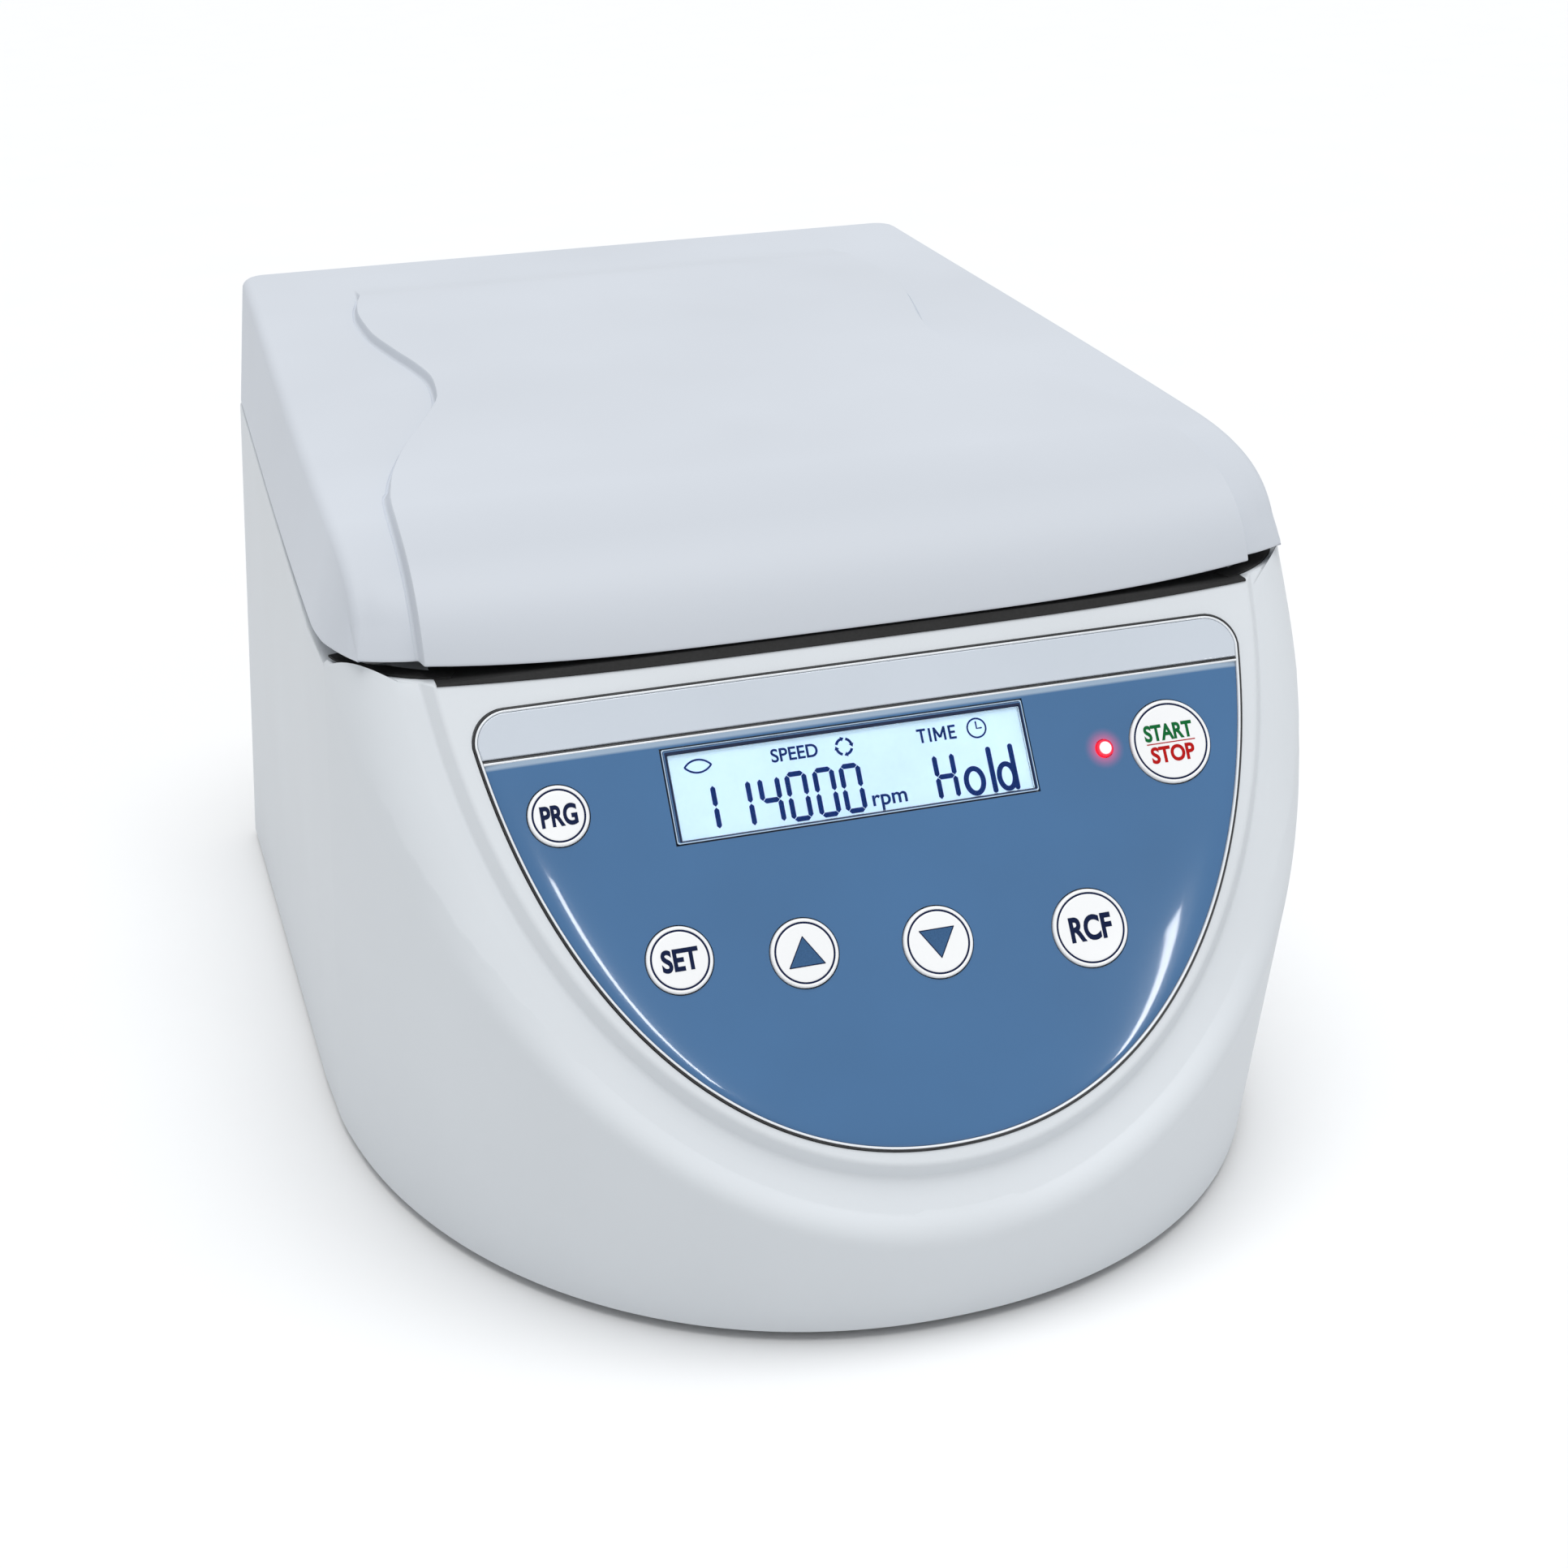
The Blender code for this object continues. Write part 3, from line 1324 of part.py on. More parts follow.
housing_object = make_housing()
cut_housing(housing_object)
make_panel()
make_lid_shell()
make_liner()
make_hinge()
make_lock()
make_deck_rubber()
make_bowl()
make_rotor()
make_drive()
make_floor()
make_rear_panel()
make_power_board()
hold_by_axis("lid_axis", at(0.0, hinge_depth, hinge_height),
             ("lid_shell", "lid_liner", "lid_hinge_arm_left", "lid_hinge_arm_right", "lock_striker"))
hold_by_axis("rotor_axis", at(0.0, chamber_depth, rotor_base_height), ("rotor", "rotor_spindle"))
hold_by_axis("rocker_axis", at(mains_x, rocker_pivot_depth, mains_height), ("mains_rocker",))
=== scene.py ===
import math

import bmesh
import bpy
from mathutils import Matrix, Vector


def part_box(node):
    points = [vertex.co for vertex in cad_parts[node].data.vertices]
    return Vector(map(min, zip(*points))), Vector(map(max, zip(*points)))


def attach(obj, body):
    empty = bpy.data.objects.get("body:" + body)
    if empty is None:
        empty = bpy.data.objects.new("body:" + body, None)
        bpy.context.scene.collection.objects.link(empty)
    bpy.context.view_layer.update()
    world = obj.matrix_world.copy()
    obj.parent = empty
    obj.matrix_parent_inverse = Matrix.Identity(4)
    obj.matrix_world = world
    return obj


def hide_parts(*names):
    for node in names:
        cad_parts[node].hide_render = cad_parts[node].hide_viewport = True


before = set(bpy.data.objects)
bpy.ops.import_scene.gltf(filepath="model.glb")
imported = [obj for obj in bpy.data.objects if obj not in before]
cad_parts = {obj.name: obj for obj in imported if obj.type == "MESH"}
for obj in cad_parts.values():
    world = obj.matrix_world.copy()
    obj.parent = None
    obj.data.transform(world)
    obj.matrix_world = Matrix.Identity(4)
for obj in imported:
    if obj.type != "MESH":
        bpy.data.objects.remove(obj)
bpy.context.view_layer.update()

mm = 0.001
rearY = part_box("housing")[1].y
footDrop = 3.0

# The finishes, named for what they are on this machine
colours = {
    "housing": (0.648, 0.680, 0.712),
    "lid": (0.592, 0.628, 0.682),
    "liner": (0.42, 0.44, 0.46),
    "filmBlue": (0.046, 0.142, 0.305),
    "filmEdge": (0.30, 0.40, 0.52),
    "silver": (0.56, 0.61, 0.675),
    "bead": (0.80, 0.83, 0.86),
    "keyWhite": (0.86, 0.87, 0.88),
    "navy": (0.0015, 0.008, 0.046),
    "green": (0.0, 0.120, 0.026),
    "red": (0.43, 0.003, 0.003),
    "arrow": (0.040, 0.105, 0.225),
    "displayInk": (0.0010, 0.026, 0.170),
    "frameNavy": (0.006, 0.016, 0.060),
    "paleLine": (0.46, 0.60, 0.74),
    "stripeBlue": (0.070, 0.165, 0.330),
    "pane": (0.98, 0.99, 1.0),
    "screen": (0.50, 0.68, 0.82),
    "lampCore": (1.0, 0.93, 0.93),
    "lampRim": (0.90, 0.012, 0.030),
    # lampGlow: painted red light from the lamp on the film around it; the same name also names the lamp's own
    # material
    "lampGlow": (0.75, 0.02, 0.06),
    "numbers": (0.02, 0.02, 0.022),
    "switchMarks": (0.75, 0.76, 0.77),
    "rubber": (0.018, 0.018, 0.019),
    "paleRubber": (0.62, 0.63, 0.64),
    "steel": (0.60, 0.61, 0.63),
    "darkSteel": (0.115, 0.120, 0.128),
    "aluminium": (0.52, 0.54, 0.57),
    "blackPlastic": (0.020, 0.020, 0.022),
    "board": (0.012, 0.110, 0.045),
    "floor": (0.875, 0.88, 0.885),
}


def at(x, depth, height):
    # A place given in millimetres: across, forward from the rear face, up from the housing's lower edge
    return Vector((x * mm, rearY - depth * mm, (footDrop + height) * mm))


def mix(first, second, share):
    return first + (second - first) * share


def ease(share):
    share = min(max(share, 0.0), 1.0)
    return share * share * (3 - 2 * share)


def smoothThrough(points, place):
    # A smooth line through (place, value) points, with no overshoot
    if place <= points[0][0]:
        return points[0][1]
    if place >= points[-1][0]:
        return points[-1][1]
    slopes = [(b[1] - a[1]) / (b[0] - a[0]) for a, b in zip(points, points[1:])]
    tangents = [slopes[0]]
    for before, after in zip(slopes, slopes[1:]):
        tangents.append(0.0 if before * after <= 0 else 2 * before * after / (before + after))
    tangents.append(slopes[-1])
    index = next(i for i in range(len(slopes)) if place <= points[i + 1][0])
    width = points[index + 1][0] - points[index][0]
    t = (place - points[index][0]) / width
    first, second = points[index][1], points[index + 1][1]
    return ((2 * t ** 3 - 3 * t ** 2 + 1) * first + (t ** 3 - 2 * t ** 2 + t) * width * tangents[index]
            + (3 * t ** 2 - 2 * t ** 3) * second + (t ** 3 - t ** 2) * width * tangents[index + 1])


def bezier(start, corner, end, t):
    return start * (1 - t) ** 2 + corner * 2 * t * (1 - t) + end * t ** 2


def filleted(before, corner, after, reach, steps=4):
    start = corner + (before - corner).normalized() * reach
    end = corner + (after - corner).normalized() * reach
    return [bezier(start, corner, end, index / steps) for index in range(steps + 1)]


def wire(tree, kind, inputs, output=0, **settings):
    # Adds a node: each input is a value or the socket that feeds it
    node = tree.nodes.new(kind)
    for name, value in settings.items():
        setattr(node, name, value)
    for name, value in inputs.items():
        if isinstance(value, bpy.types.NodeSocket):
            tree.links.new(value, node.inputs[name])
        else:
            node.inputs[name].default_value = value
    return node.outputs[output]


def maths(tree, operation, *values):
    return wire(tree, "ShaderNodeMath", dict(enumerate(values)), operation=operation)


# Materials

def newMaterial(name):
    material = bpy.data.materials.new(name)
    material.use_nodes = True
    return material, material.node_tree


def paint(tree, **values):
    # Sets or feeds the shader's sockets, named without their spaces
    shader = tree.nodes["Principled BSDF"]
    for socket in shader.inputs:
        value = values.get(socket.name.replace(" ", ""))
        if isinstance(value, bpy.types.NodeSocket):
            tree.links.new(value, socket)
        elif value is not None:
            socket.default_value = value


def spotOn(tree):
    return wire(tree, "ShaderNodeTexCoord", {}, "Object")


def noise(tree, scale, detail=3.0, roughness=0.5, along=(1, 1, 1)):
    vector = wire(tree, "ShaderNodeMapping", {"Vector": spotOn(tree), "Scale": along})
    return wire(tree, "ShaderNodeTexNoise",
                {"Vector": vector, "Scale": scale, "Detail": detail, "Roughness": roughness}, "Fac")


def ramp(tree, value, stops):
    colour = wire(tree, "ShaderNodeValToRGB", {"Fac": value}, "Color")
    elements = colour.node.color_ramp.elements
    while len(elements) < len(stops):
        elements.new(0.5)
    for element, (position, tone) in zip(elements, stops):
        element.position = position
        element.color = (*tone, 1.0)
    return colour


def shade(colour, factor):
    return tuple(min(channel * factor, 1.0) for channel in colour)


def tones(tree, value, colour, dark, light, low=0.3, high=0.7):
    return ramp(tree, value, [(low, shade(colour, dark)), (high, shade(colour, light))])


def rangeOf(tree, value, low, high, fromLow=0.0, fromHigh=1.0):
    return wire(tree, "ShaderNodeMapRange", {"Value": value, "From Min": fromLow, "From Max": fromHigh,
                                             "To Min": low, "To Max": high}, "Result")


def bump(tree, height, distance, strength):
    return wire(tree, "ShaderNodeBump", {"Height": height, "Distance": distance * mm, "Strength": strength})


def vectorStep(tree, operation, vector, other, output="Vector"):
    return wire(tree, "ShaderNodeVectorMath", {0: vector, 1: other}, output, operation=operation)


def tintOver(tree, base, share, colour):
    return wire(tree, "ShaderNodeMix", {"Factor": share, "A": base, "B": (*colour, 1.0)}, "Result",
                data_type="RGBA")


def baseTone(tree):
    return tree.nodes["Principled BSDF"].inputs["Base Color"].links[0].from_socket


def mouldedPlastic(name, colour, roughness=0.40, grain=0.010, spread=0.025):
    # Fine spark-eroded grain, with slow changes of tone and gloss
    material, tree = newMaterial(name)
    slow = noise(tree, 14.0, 2.0)
    fine = noise(tree, 1900.0, 2.0, 0.6)
    paint(tree, BaseColor=tones(tree, slow, colour, 1 - spread, 1 + spread, 0.25, 0.75),
          Roughness=rangeOf(tree, slow, roughness - 0.04, roughness + 0.05), SpecularIORLevel=0.40,
          Normal=bump(tree, fine, grain, 0.6))
    return material


def glossFilm(name, colour, roughness=0.12, spread=0.05, coat=0.9):
    # Printed film under a clear hard coat
    material, tree = newMaterial(name)
    slow = noise(tree, 22.0)
    dots = noise(tree, 2600.0, 1.0)
    paint(tree, BaseColor=tones(tree, slow, colour, 1 - spread, 1 + spread), SpecularIORLevel=0.3,
          Roughness=rangeOf(tree, dots, roughness, roughness + 0.06), CoatWeight=coat, CoatRoughness=0.04,
          Normal=bump(tree, slow, 0.02, 0.5))
    return material


def panelFilm(name, colour, edgeColour, paintedGlowColour):
    # The blue film, pale along its upper edge, with painted red light about the lamp: the film itself glows
    # there, standing in for the lamp's light falling on it
    material = glossFilm(name, colour)
    tree = material.node_tree
    spot = spotOn(tree)
    fromTop = vectorStep(tree, "SUBTRACT", spot, onPanel(0, 0, 0))
    down = vectorStep(tree, "DOT_PRODUCT", fromTop, -riseAlong, "Value")
    fade = rangeOf(tree, down, 1.0, 0.0, sheets["fadeTop"] * mm, sheets["bandLow"] * mm)
    # painted light: the film glows red near the lamp, standing in for the lamp's light on it
    away = vectorStep(tree, "DISTANCE", spot,
                      onPanel(panel["lampX"], panel["lampDown"], panel["sheetFace"]), "Value")
    radius = panel["lampRadius"] * mm
    near = maths(tree, "POWER", rangeOf(tree, away, 1.0, 0.0, 0.9 * radius, 2.6 * radius), 1.8)
    paint(tree, BaseColor=tintOver(tree, baseTone(tree), fade, edgeColour), EmissionStrength=0.8,
          EmissionColor=ramp(tree, near, [(0.0, (0.0, 0.0, 0.0)), (1.0, paintedGlowColour)]))
    return material


def brushedMetal(name, colour, roughness=0.28):
    # Fine lines along one direction, in tone, gloss and relief
    material, tree = newMaterial(name)
    lines = noise(tree, 70.0, 4.0, 0.6, (1, 60, 60))
    paint(tree, BaseColor=tones(tree, lines, colour, 0.82, 1.06), Metallic=1.0,
          Roughness=rangeOf(tree, lines, roughness - 0.06, roughness + 0.10),
          Normal=bump(tree, lines, 0.006, 0.5))
    return material


def turnedMetal(name, colour, roughness=0.25):
    # Fine rings about the spindle, as a lathe leaves them
    material, tree = newMaterial(name)
    centred = vectorStep(tree, "SUBTRACT", spotOn(tree), at(0, 140, 0))
    flat = vectorStep(tree, "MULTIPLY", centred, (1, 1, 0.5))
    radius = wire(tree, "ShaderNodeVectorMath", {0: flat}, "Value", operation="LENGTH")
    rings = wire(tree, "ShaderNodeTexNoise", {"W": radius, "Scale": 5200.0, "Detail": 2.0}, "Fac",
                 noise_dimensions="1D")
    paint(tree, BaseColor=tones(tree, rings, colour, 0.86, 1.05), Metallic=1.0,
          Roughness=rangeOf(tree, rings, roughness - 0.05, roughness + 0.08),
          Normal=bump(tree, rings, 0.005, 0.5))
    return material


def rubber(name, colour, roughness=0.72):
    material, tree = newMaterial(name)
    fine = noise(tree, 1200.0, 4.0, 0.6)
    slow = noise(tree, 60.0, 2.0)
    paint(tree, BaseColor=tones(tree, slow, colour, 0.8, 1.35),
          Roughness=rangeOf(tree, fine, roughness - 0.08, roughness + 0.12), Normal=bump(tree, fine, 0.02, 0.7))
    return material


def coatedSteel(name, colour, roughness=0.45):
    # Powder coat with its fine orange peel
    material, tree = newMaterial(name)
    peel = noise(tree, 650.0, 2.0)
    slow = noise(tree, 30.0, 2.0)
    paint(tree, BaseColor=tones(tree, slow, colour, 0.9, 1.12),
          Roughness=rangeOf(tree, peel, roughness - 0.07, roughness + 0.10), Normal=bump(tree, peel, 0.03, 0.8))
    return material


def circuitBoard(name, colour):
    # Solder mask over faint tracks
    material, tree = newMaterial(name)
    vector = wire(tree, "ShaderNodeMapping", {"Vector": spotOn(tree)})
    cells = wire(tree, "ShaderNodeTexVoronoi", {"Vector": vector, "Scale": 420.0}, "Distance",
                 distance="MANHATTAN", feature="F1")
    paint(tree, BaseColor=tones(tree, cells, colour, 1.8, 1.0, 0.25, 0.32), Roughness=0.35,
          Normal=bump(tree, cells, 0.03, 0.5))
    return material


def litScreen(name, colour, glow):
    # Backlit display: even light with a faint cloudiness
    material, tree = newMaterial(name)
    tone = tones(tree, noise(tree, 55.0), colour, 0.94, 1.05)
    paint(tree, BaseColor=tone, EmissionColor=tone, EmissionStrength=glow, Roughness=0.25)
    return material


def clearSheet(name, tint):
    material, tree = newMaterial(name)
    haze = noise(tree, 900.0, 2.0)
    paint(tree, BaseColor=tones(tree, haze, tint, 0.98, 1.0), Roughness=rangeOf(tree, haze, 0.02, 0.06),
          TransmissionWeight=1.0, IOR=1.15)
    return material


def printedInk(name, colour, roughness=0.4):
    material, tree = newMaterial(name)
    grain = noise(tree, 3000.0, 2.0)
    paint(tree, BaseColor=tones(tree, grain, colour, 0.9, 1.1), SpecularIORLevel=0.12,
          Roughness=rangeOf(tree, grain, roughness - 0.05, roughness + 0.08))
    return material


def glowingLamp(name, core, rim):
    # White-hot middle that falls off to red at the dome's edge
    material, tree = newMaterial(name)
    away = vectorStep(tree, "DISTANCE", spotOn(tree),
                      onPanel(panel["lampX"], panel["lampDown"], panel["sheetFace"] + 1.0), "Value")
    tone = ramp(tree, rangeOf(tree, away, 0.0, 1.0, 0.0, 2.3 * mm),
                [(0.0, core), (0.48, core), (0.72, rim), (1.0, shade(rim, 0.7))])
    paint(tree, BaseColor=tone, EmissionColor=tone, EmissionStrength=1.6, Roughness=0.2)
    return material


# Mesh helpers

def newPiece(name, data):
    piece = bpy.data.objects.new(name, data)
    bpy.context.scene.collection.objects.link(piece)
    return piece


def sharpen(mesh, smoothAngle):
    mesh.shade_smooth()
    mesh.set_sharp_from_angle(angle=math.radians(smoothAngle))


def meshObject(name, solid, material=None, smoothAngle=32.0):
    mesh = bpy.data.meshes.new(name)
    bmesh.ops.recalc_face_normals(solid, faces=solid.faces)
    solid.to_mesh(mesh)
    solid.free()
    if material:
        mesh.materials.append(material)
    sharpen(mesh, smoothAngle)
    return newPiece(name, mesh)


def cornersOf(solid, rings):
    return [[solid.verts.new(point) for point in ring] for ring in rings]


def stitch(solid, rows, closed=True, endless=False):
    # Quads between neighbouring rows: closed joins each row's ends, endless joins the last row to the first
    count = len(rows[0])
    for low, high in zip(rows, rows[1:] + (rows[:1] if endless else [])):
        for index in range(count if closed else count - 1):
            after = (index + 1) % count
            solid.faces.new((low[index], low[after], high[after], high[index]))


def loft(rings, solid=None):
    # A tube through closed rings, capped at both ends
    if solid is None:
        solid = bmesh.new()
    rows = cornersOf(solid, rings)
    stitch(solid, rows)
    solid.faces.new(rows[0])
    solid.faces.new(rows[-1])
    return solid


def carriedRound(rings):
    # A closed section carried round a closed line
    solid = bmesh.new()
    stitch(solid, cornersOf(solid, rings), endless=True)
    return solid


def turnedSolid(section, steps):
    # A closed section of (radius, height) points in millimetres, turned about the vertical
    solid = bmesh.new()
    columns = []
    poles = {}
    for step in range(steps):
        angle = 2 * math.pi * step / steps
        column = []
        for index, (radius, height) in enumerate(section):
            if radius > 0:
                column.append(solid.verts.new((radius * mm * math.cos(angle), radius * mm * math.sin(angle),
                                               height * mm)))
            else:
                if index not in poles:
                    poles[index] = solid.verts.new((0.0, 0.0, height * mm))
                column.append(poles[index])
        columns.append(column)
    for step in range(steps):
        here = columns[step]
        there = columns[(step + 1) % steps]
        for index in range(len(section)):
            after = (index + 1) % len(section)
            corners = []
            for corner in (here[index], there[index], there[after], here[after]):
                if corner not in corners:
                    corners.append(corner)
            if len(corners) > 2:
                solid.faces.new(corners)
    return solid


def roundedSection(points, radius, steps):
    # Rounds every corner of a closed (radius, height) section that isn't on the axis
    rounded = []
    count = len(points)
    for index, point in enumerate(points):
        if point[0] <= 0:
            rounded.append(point)
            continue
        here = Vector(point)
        before = Vector(points[index - 1])
        after = Vector(points[(index + 1) % count])
        reach = min(radius, (before - here).length / 2.1, (after - here).length / 2.1)
        rounded += [tuple(spot) for spot in filleted(before, here, after, reach, steps)]
    return rounded


def evaluatedMesh(piece):
    bpy.context.view_layer.update()
    graph = bpy.context.evaluated_depsgraph_get()
    return bpy.data.meshes.new_from_object(piece.evaluated_get(graph), depsgraph=graph)


def finishModifiers(piece):
    mesh = evaluatedMesh(piece)
    old = piece.data
    piece.modifiers.clear()
    piece.data = mesh
    bpy.data.meshes.remove(old)
    return piece


def cutAway(piece, tools):
    # Cuts each tool in turn, then drops the tools
    for tool in tools:
        cut = piece.modifiers.new("cut", "BOOLEAN")
        cut.operation = "DIFFERENCE"
        cut.solver = "EXACT"
        cut.object = tool
    finishModifiers(piece)
    for tool in tools:
        bpy.data.objects.remove(tool)
    return piece


def joinMeshes(name, pieces, material=None):
    solid = bmesh.new()
    for piece in pieces:
        piece.data.transform(piece.matrix_world)
        solid.from_mesh(piece.data)
        bpy.data.objects.remove(piece)
    mesh = bpy.data.meshes.new(name)
    solid.to_mesh(mesh)
    solid.free()
    if material:
        mesh.materials.append(material)
    return newPiece(name, mesh)


def settle(piece):
    # Moves a piece's place into its mesh, so that its object lies at the origin
    bpy.context.view_layer.update()
    piece.data.transform(piece.matrix_world)
    piece.matrix_world = Matrix.Identity(4)
    return piece


def evenShading(piece, smoothAngle=32.0):
    sharpen(piece.data, smoothAngle)
    weights = piece.modifiers.new("shading", "WEIGHTED_NORMAL")
    weights.keep_sharp = True
    weights.weight = 60
    return finishModifiers(piece)


def fit(piece, body, *nodes, finish=None):
    if nodes:
        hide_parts(*nodes)
    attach(piece, body)
    return piece


print("frame loaded, finishes and helpers ready")

# Panel plane: where it starts and how it leans

panel = {
    "depth": 304.3, "height": 151.6, "lean": math.radians(32.8),
    "shieldHalf": 104.0, "shieldStart": -18.0, "shieldLow": 128.5, "shieldPower": 2.05, "shieldRise": 3.5,
    "shieldFlank": 2.6, "sheetHalf": 99.0, "sheetStart": -18.1, "sheetLow": 125.0, "sheetPower": 2.149,
    "sheetTop": 7.5, "sheetCorner": 8.5, "stripLow": 19.1, "pocket": 1.2, "sheetSeat": -0.9, "sheetFace": 0.6,
    "lampX": 55.5, "lampDown": 37.5, "lampRadius": 2.1,
    "displayX": -8.6, "displayDown": 33.9, "displayWidth": 90.6, "displayHeight": 22.8, "displayBand": 1.7,
}
riseAlong = Vector((0.0, math.sin(panel["lean"]), math.cos(panel["lean"])))
panelNormal = Vector((0.0, -math.cos(panel["lean"]), math.sin(panel["lean"])))
deckHeightRear = 154.6
deckSlope = (deckHeightRear - panel["height"]) / panel["depth"]


def onPanel(x, down, out):
    # A place on the panel in millimetres: across, down the slope, out from the plane
    start = at(x, panel["depth"], panel["height"])
    return start - riseAlong * down * mm + panelNormal * out * mm


def panelRing(outline, out):
    return [onPanel(x, down, out) for x, down in outline]


def deckHeight(depth):
    return deckHeightRear - deckSlope * depth


def bow(half, start, low, power, first, steps):
    # Right half of a U as (x, down), from its start down to the middle line
    firstAngle = math.asin(((first - start) / (low - start)) ** (power / 2))
    points = []
    for step in range(steps + 1):
        angle = mix(firstAngle, math.pi / 2, step / steps)
        x = half * max(math.cos(angle), 0.0) ** (2 / power)
        points.append((x if step < steps else 0.0, start + (low - start) * math.sin(angle) ** (2 / power)))
    return points


def ellipse(x, y, wide, tall, first=0.0, last=2 * math.pi, steps=40):
    turns = [mix(first, last, step / steps) for step in range(steps + 1)]
    return [(x + wide * math.cos(turn), y + tall * math.sin(turn)) for turn in turns]


def arc(centre, radius, first, last, steps):
    return ellipse(*centre, radius, radius, first, last, steps)


def roundedBox(left, right, low, high, corner, steps):
    points = []
    middles = ((right - corner, high - corner), (left + corner, high - corner),
               (left + corner, low + corner), (right - corner, low + corner))
    for quarter, middle in enumerate(middles):
        points += arc(middle, corner, quarter * math.pi / 2, (quarter + 1) * math.pi / 2, steps)
    return points


def mirrored(half):
    return half + [(-x, other) for x, other in reversed(half[:-1])]


def panelSolid(name, outline, low, high, material=None):
    return meshObject(name, loft([panelRing(outline, low), panelRing(outline, high)]), material)


def panelTurned(name, section, x, down, material=None, steps=64):
    piece = meshObject(name, turnedSolid(section, steps), material)
    piece.matrix_world = (Matrix.Translation(onPanel(x, down, 0.0))
                          @ Matrix.Rotation(math.pi / 2 - panel["lean"], 4, "X"))
    return settle(piece)


def circleOutline(x, down, radius, steps=64):
    return ellipse(x, down, radius, radius, steps=steps)[:-1]


keys = {
    "program": {"x": -80.2, "down": 34.4, "radius": 7.2, "word": ("PRG", 8.6, 5.2)},
    "start_stop": {"x": 72.9, "down": 38.2, "radius": 10.5},
    "set": {"x": -58.3, "down": 71.8, "radius": 7.9, "word": ("SET", 8.9, 5.4)},
    "up": {"x": -28.8, "down": 74.9, "radius": 8.2, "way": -1},
    "down": {"x": 3.8, "down": 77.5, "radius": 8.6, "way": 1},
    "rcf": {"x": 42.1, "down": 80.2, "radius": 9.5, "word": ("RCF", 10.8, 6.3)},
}

# Housing

housing = {
    "wall": 3.0, "rimHeight": 152.0, "baseRear": 132.7, "baseSide": 131.3, "baseSideDepth": 200.4,
    "baseFront": 373.0, "rimRear": 120.2, "rimSide": 126.3, "rimSideDepth": 250.0, "rimFront": 418.0,
    "power": 2.12, "rearRadius": 7.0, "creaseHalf": 125.2, "creaseLow": 28.0, "creasePower": 1.85,
    "creaseRound": 2.2, "creaseSoft": 5.2, "footRound": 0.7, "edgeRound": 0.9, "deckRound": 1.8, "lowRound": 1.0,
    "shoulderInset": 3.5, "shoulderDrop": 3.5, "shoulderLift": 4.0,
    "chamberDepth": 140.0, "chamberRadius": 85.0, "lockDepth": 278.0, "lockHalf": 4.5, "lockReach": 10.0,
    "bracketX": 70.0, "bracketHalf": 2.1, "bracketNear": 3.1, "bracketFar": 13.2,
    "rearHalf": 85.0, "rearLow": 20.0, "rearHigh": 78.0, "rearReach": (-6, 9), "hollowLow": -5,
    "holeLow": 140, "holeHigh": 165, "chamberLow": 138, "clearance": 0.3,
    "softSteps": 14, "softLimit": 0.6, "softBeyond": 1.1, "restPoints": 12,
}


def wallAt(side, height):
    return mix(housing["base" + side], housing["rim" + side], height / housing["rimHeight"])


def wallPoint(angle, height):
    side = wallAt("SideDepth", height)
    x = wallAt("Side", height) * max(math.cos(angle), 0.0) ** (2 / housing["power"])
    return x, side + (wallAt("Front", height) - side) * math.sin(angle) ** (2 / housing["power"])


def sidePoint(share, height):
    return mix(wallAt("Rear", height), wallAt("Side", height), share), share * wallAt("SideDepth", height)


def rearPoint(turn, height):
    radius = housing["rearRadius"]
    return wallAt("Rear", height) - radius * (1 - math.sin(turn)), radius * (1 - math.cos(turn))


def toDeck(pointAt):
    height = deckHeightRear
    for attempt in range(3):
        height = deckHeight(pointAt(height)[1])
    return height


def creasePoint(angle):
    x = housing["creaseHalf"] * max(math.cos(angle), 0.0) ** (2 / housing["creasePower"])
    top = deckHeight(mix(housing["rimSideDepth"], panel["depth"], 0.5))
    height = top - (top - housing["creaseLow"]) * math.sin(angle) ** (2 / housing["creasePower"])
    return math.acos(min(x / wallAt("Side", height), 1.0) ** (housing["power"] / 2)), height


def shoulderLine(step, steps, foot, edge, shoulderSteps):
    # Crease, shoulder points, foot and edge of one front column
    turn, height = creasePoint(math.pi / 2 * step / steps)
    crease = at(*wallPoint(turn, height), height)
    lower = [at(*wallPoint(turn, level), level) for level in (0.0, height / 2)]
    if step == steps:
        crease.x = 0.0
        for point in lower:
            point.x = 0.0
    share = 1 - step / steps
    start = onPanel(*foot[step], -panel["shieldRise"])
    inset = min(housing["shoulderInset"] * mm, crease.x / 2)
    corner = Vector((crease.x - inset * share, crease.y, crease.z))
    level = onPanel(0.0, 0.0, -panel["shieldRise"] - housing["shoulderDrop"] * share)
    corner -= panelNormal * (corner - level).dot(panelNormal)
    corner += riseAlong * housing["shoulderLift"] * mm * (1 - share) * share
    shoulder = [bezier(crease, corner, start, index / shoulderSteps) for index in range(shoulderSteps + 1)]
    return lower, shoulder, onPanel(*edge[step], 0.0)


def ontoDeck(point):
    point.z = (footDrop + deckHeight((rearY - point.y) / mm)) * mm
    return point


def softCrease(below, shoulder, share):
    # The crease's fillet, wider away from the deck, and the shoulder's points beyond it
    reach = mix(housing["creaseRound"], housing["creaseSoft"], share) * mm
    lengths = [(point - shoulder[0]).length for point in shoulder]
    reach = min(reach, housing["softLimit"] * lengths[-4])
    far = next(index for index, length in enumerate(lengths) if length > housing["softBeyond"] * reach)
    rest = []
    count = housing["restPoints"]
    for step in range(count):
        spot = mix(far, len(shoulder) - 4, step / (count - 1))
        first = min(int(spot), len(shoulder) - 2)
        rest.append(shoulder[first] + (shoulder[first + 1] - shoulder[first]) * (spot - first))
    return filleted(below, shoulder[0], shoulder[far], reach, 8), rest


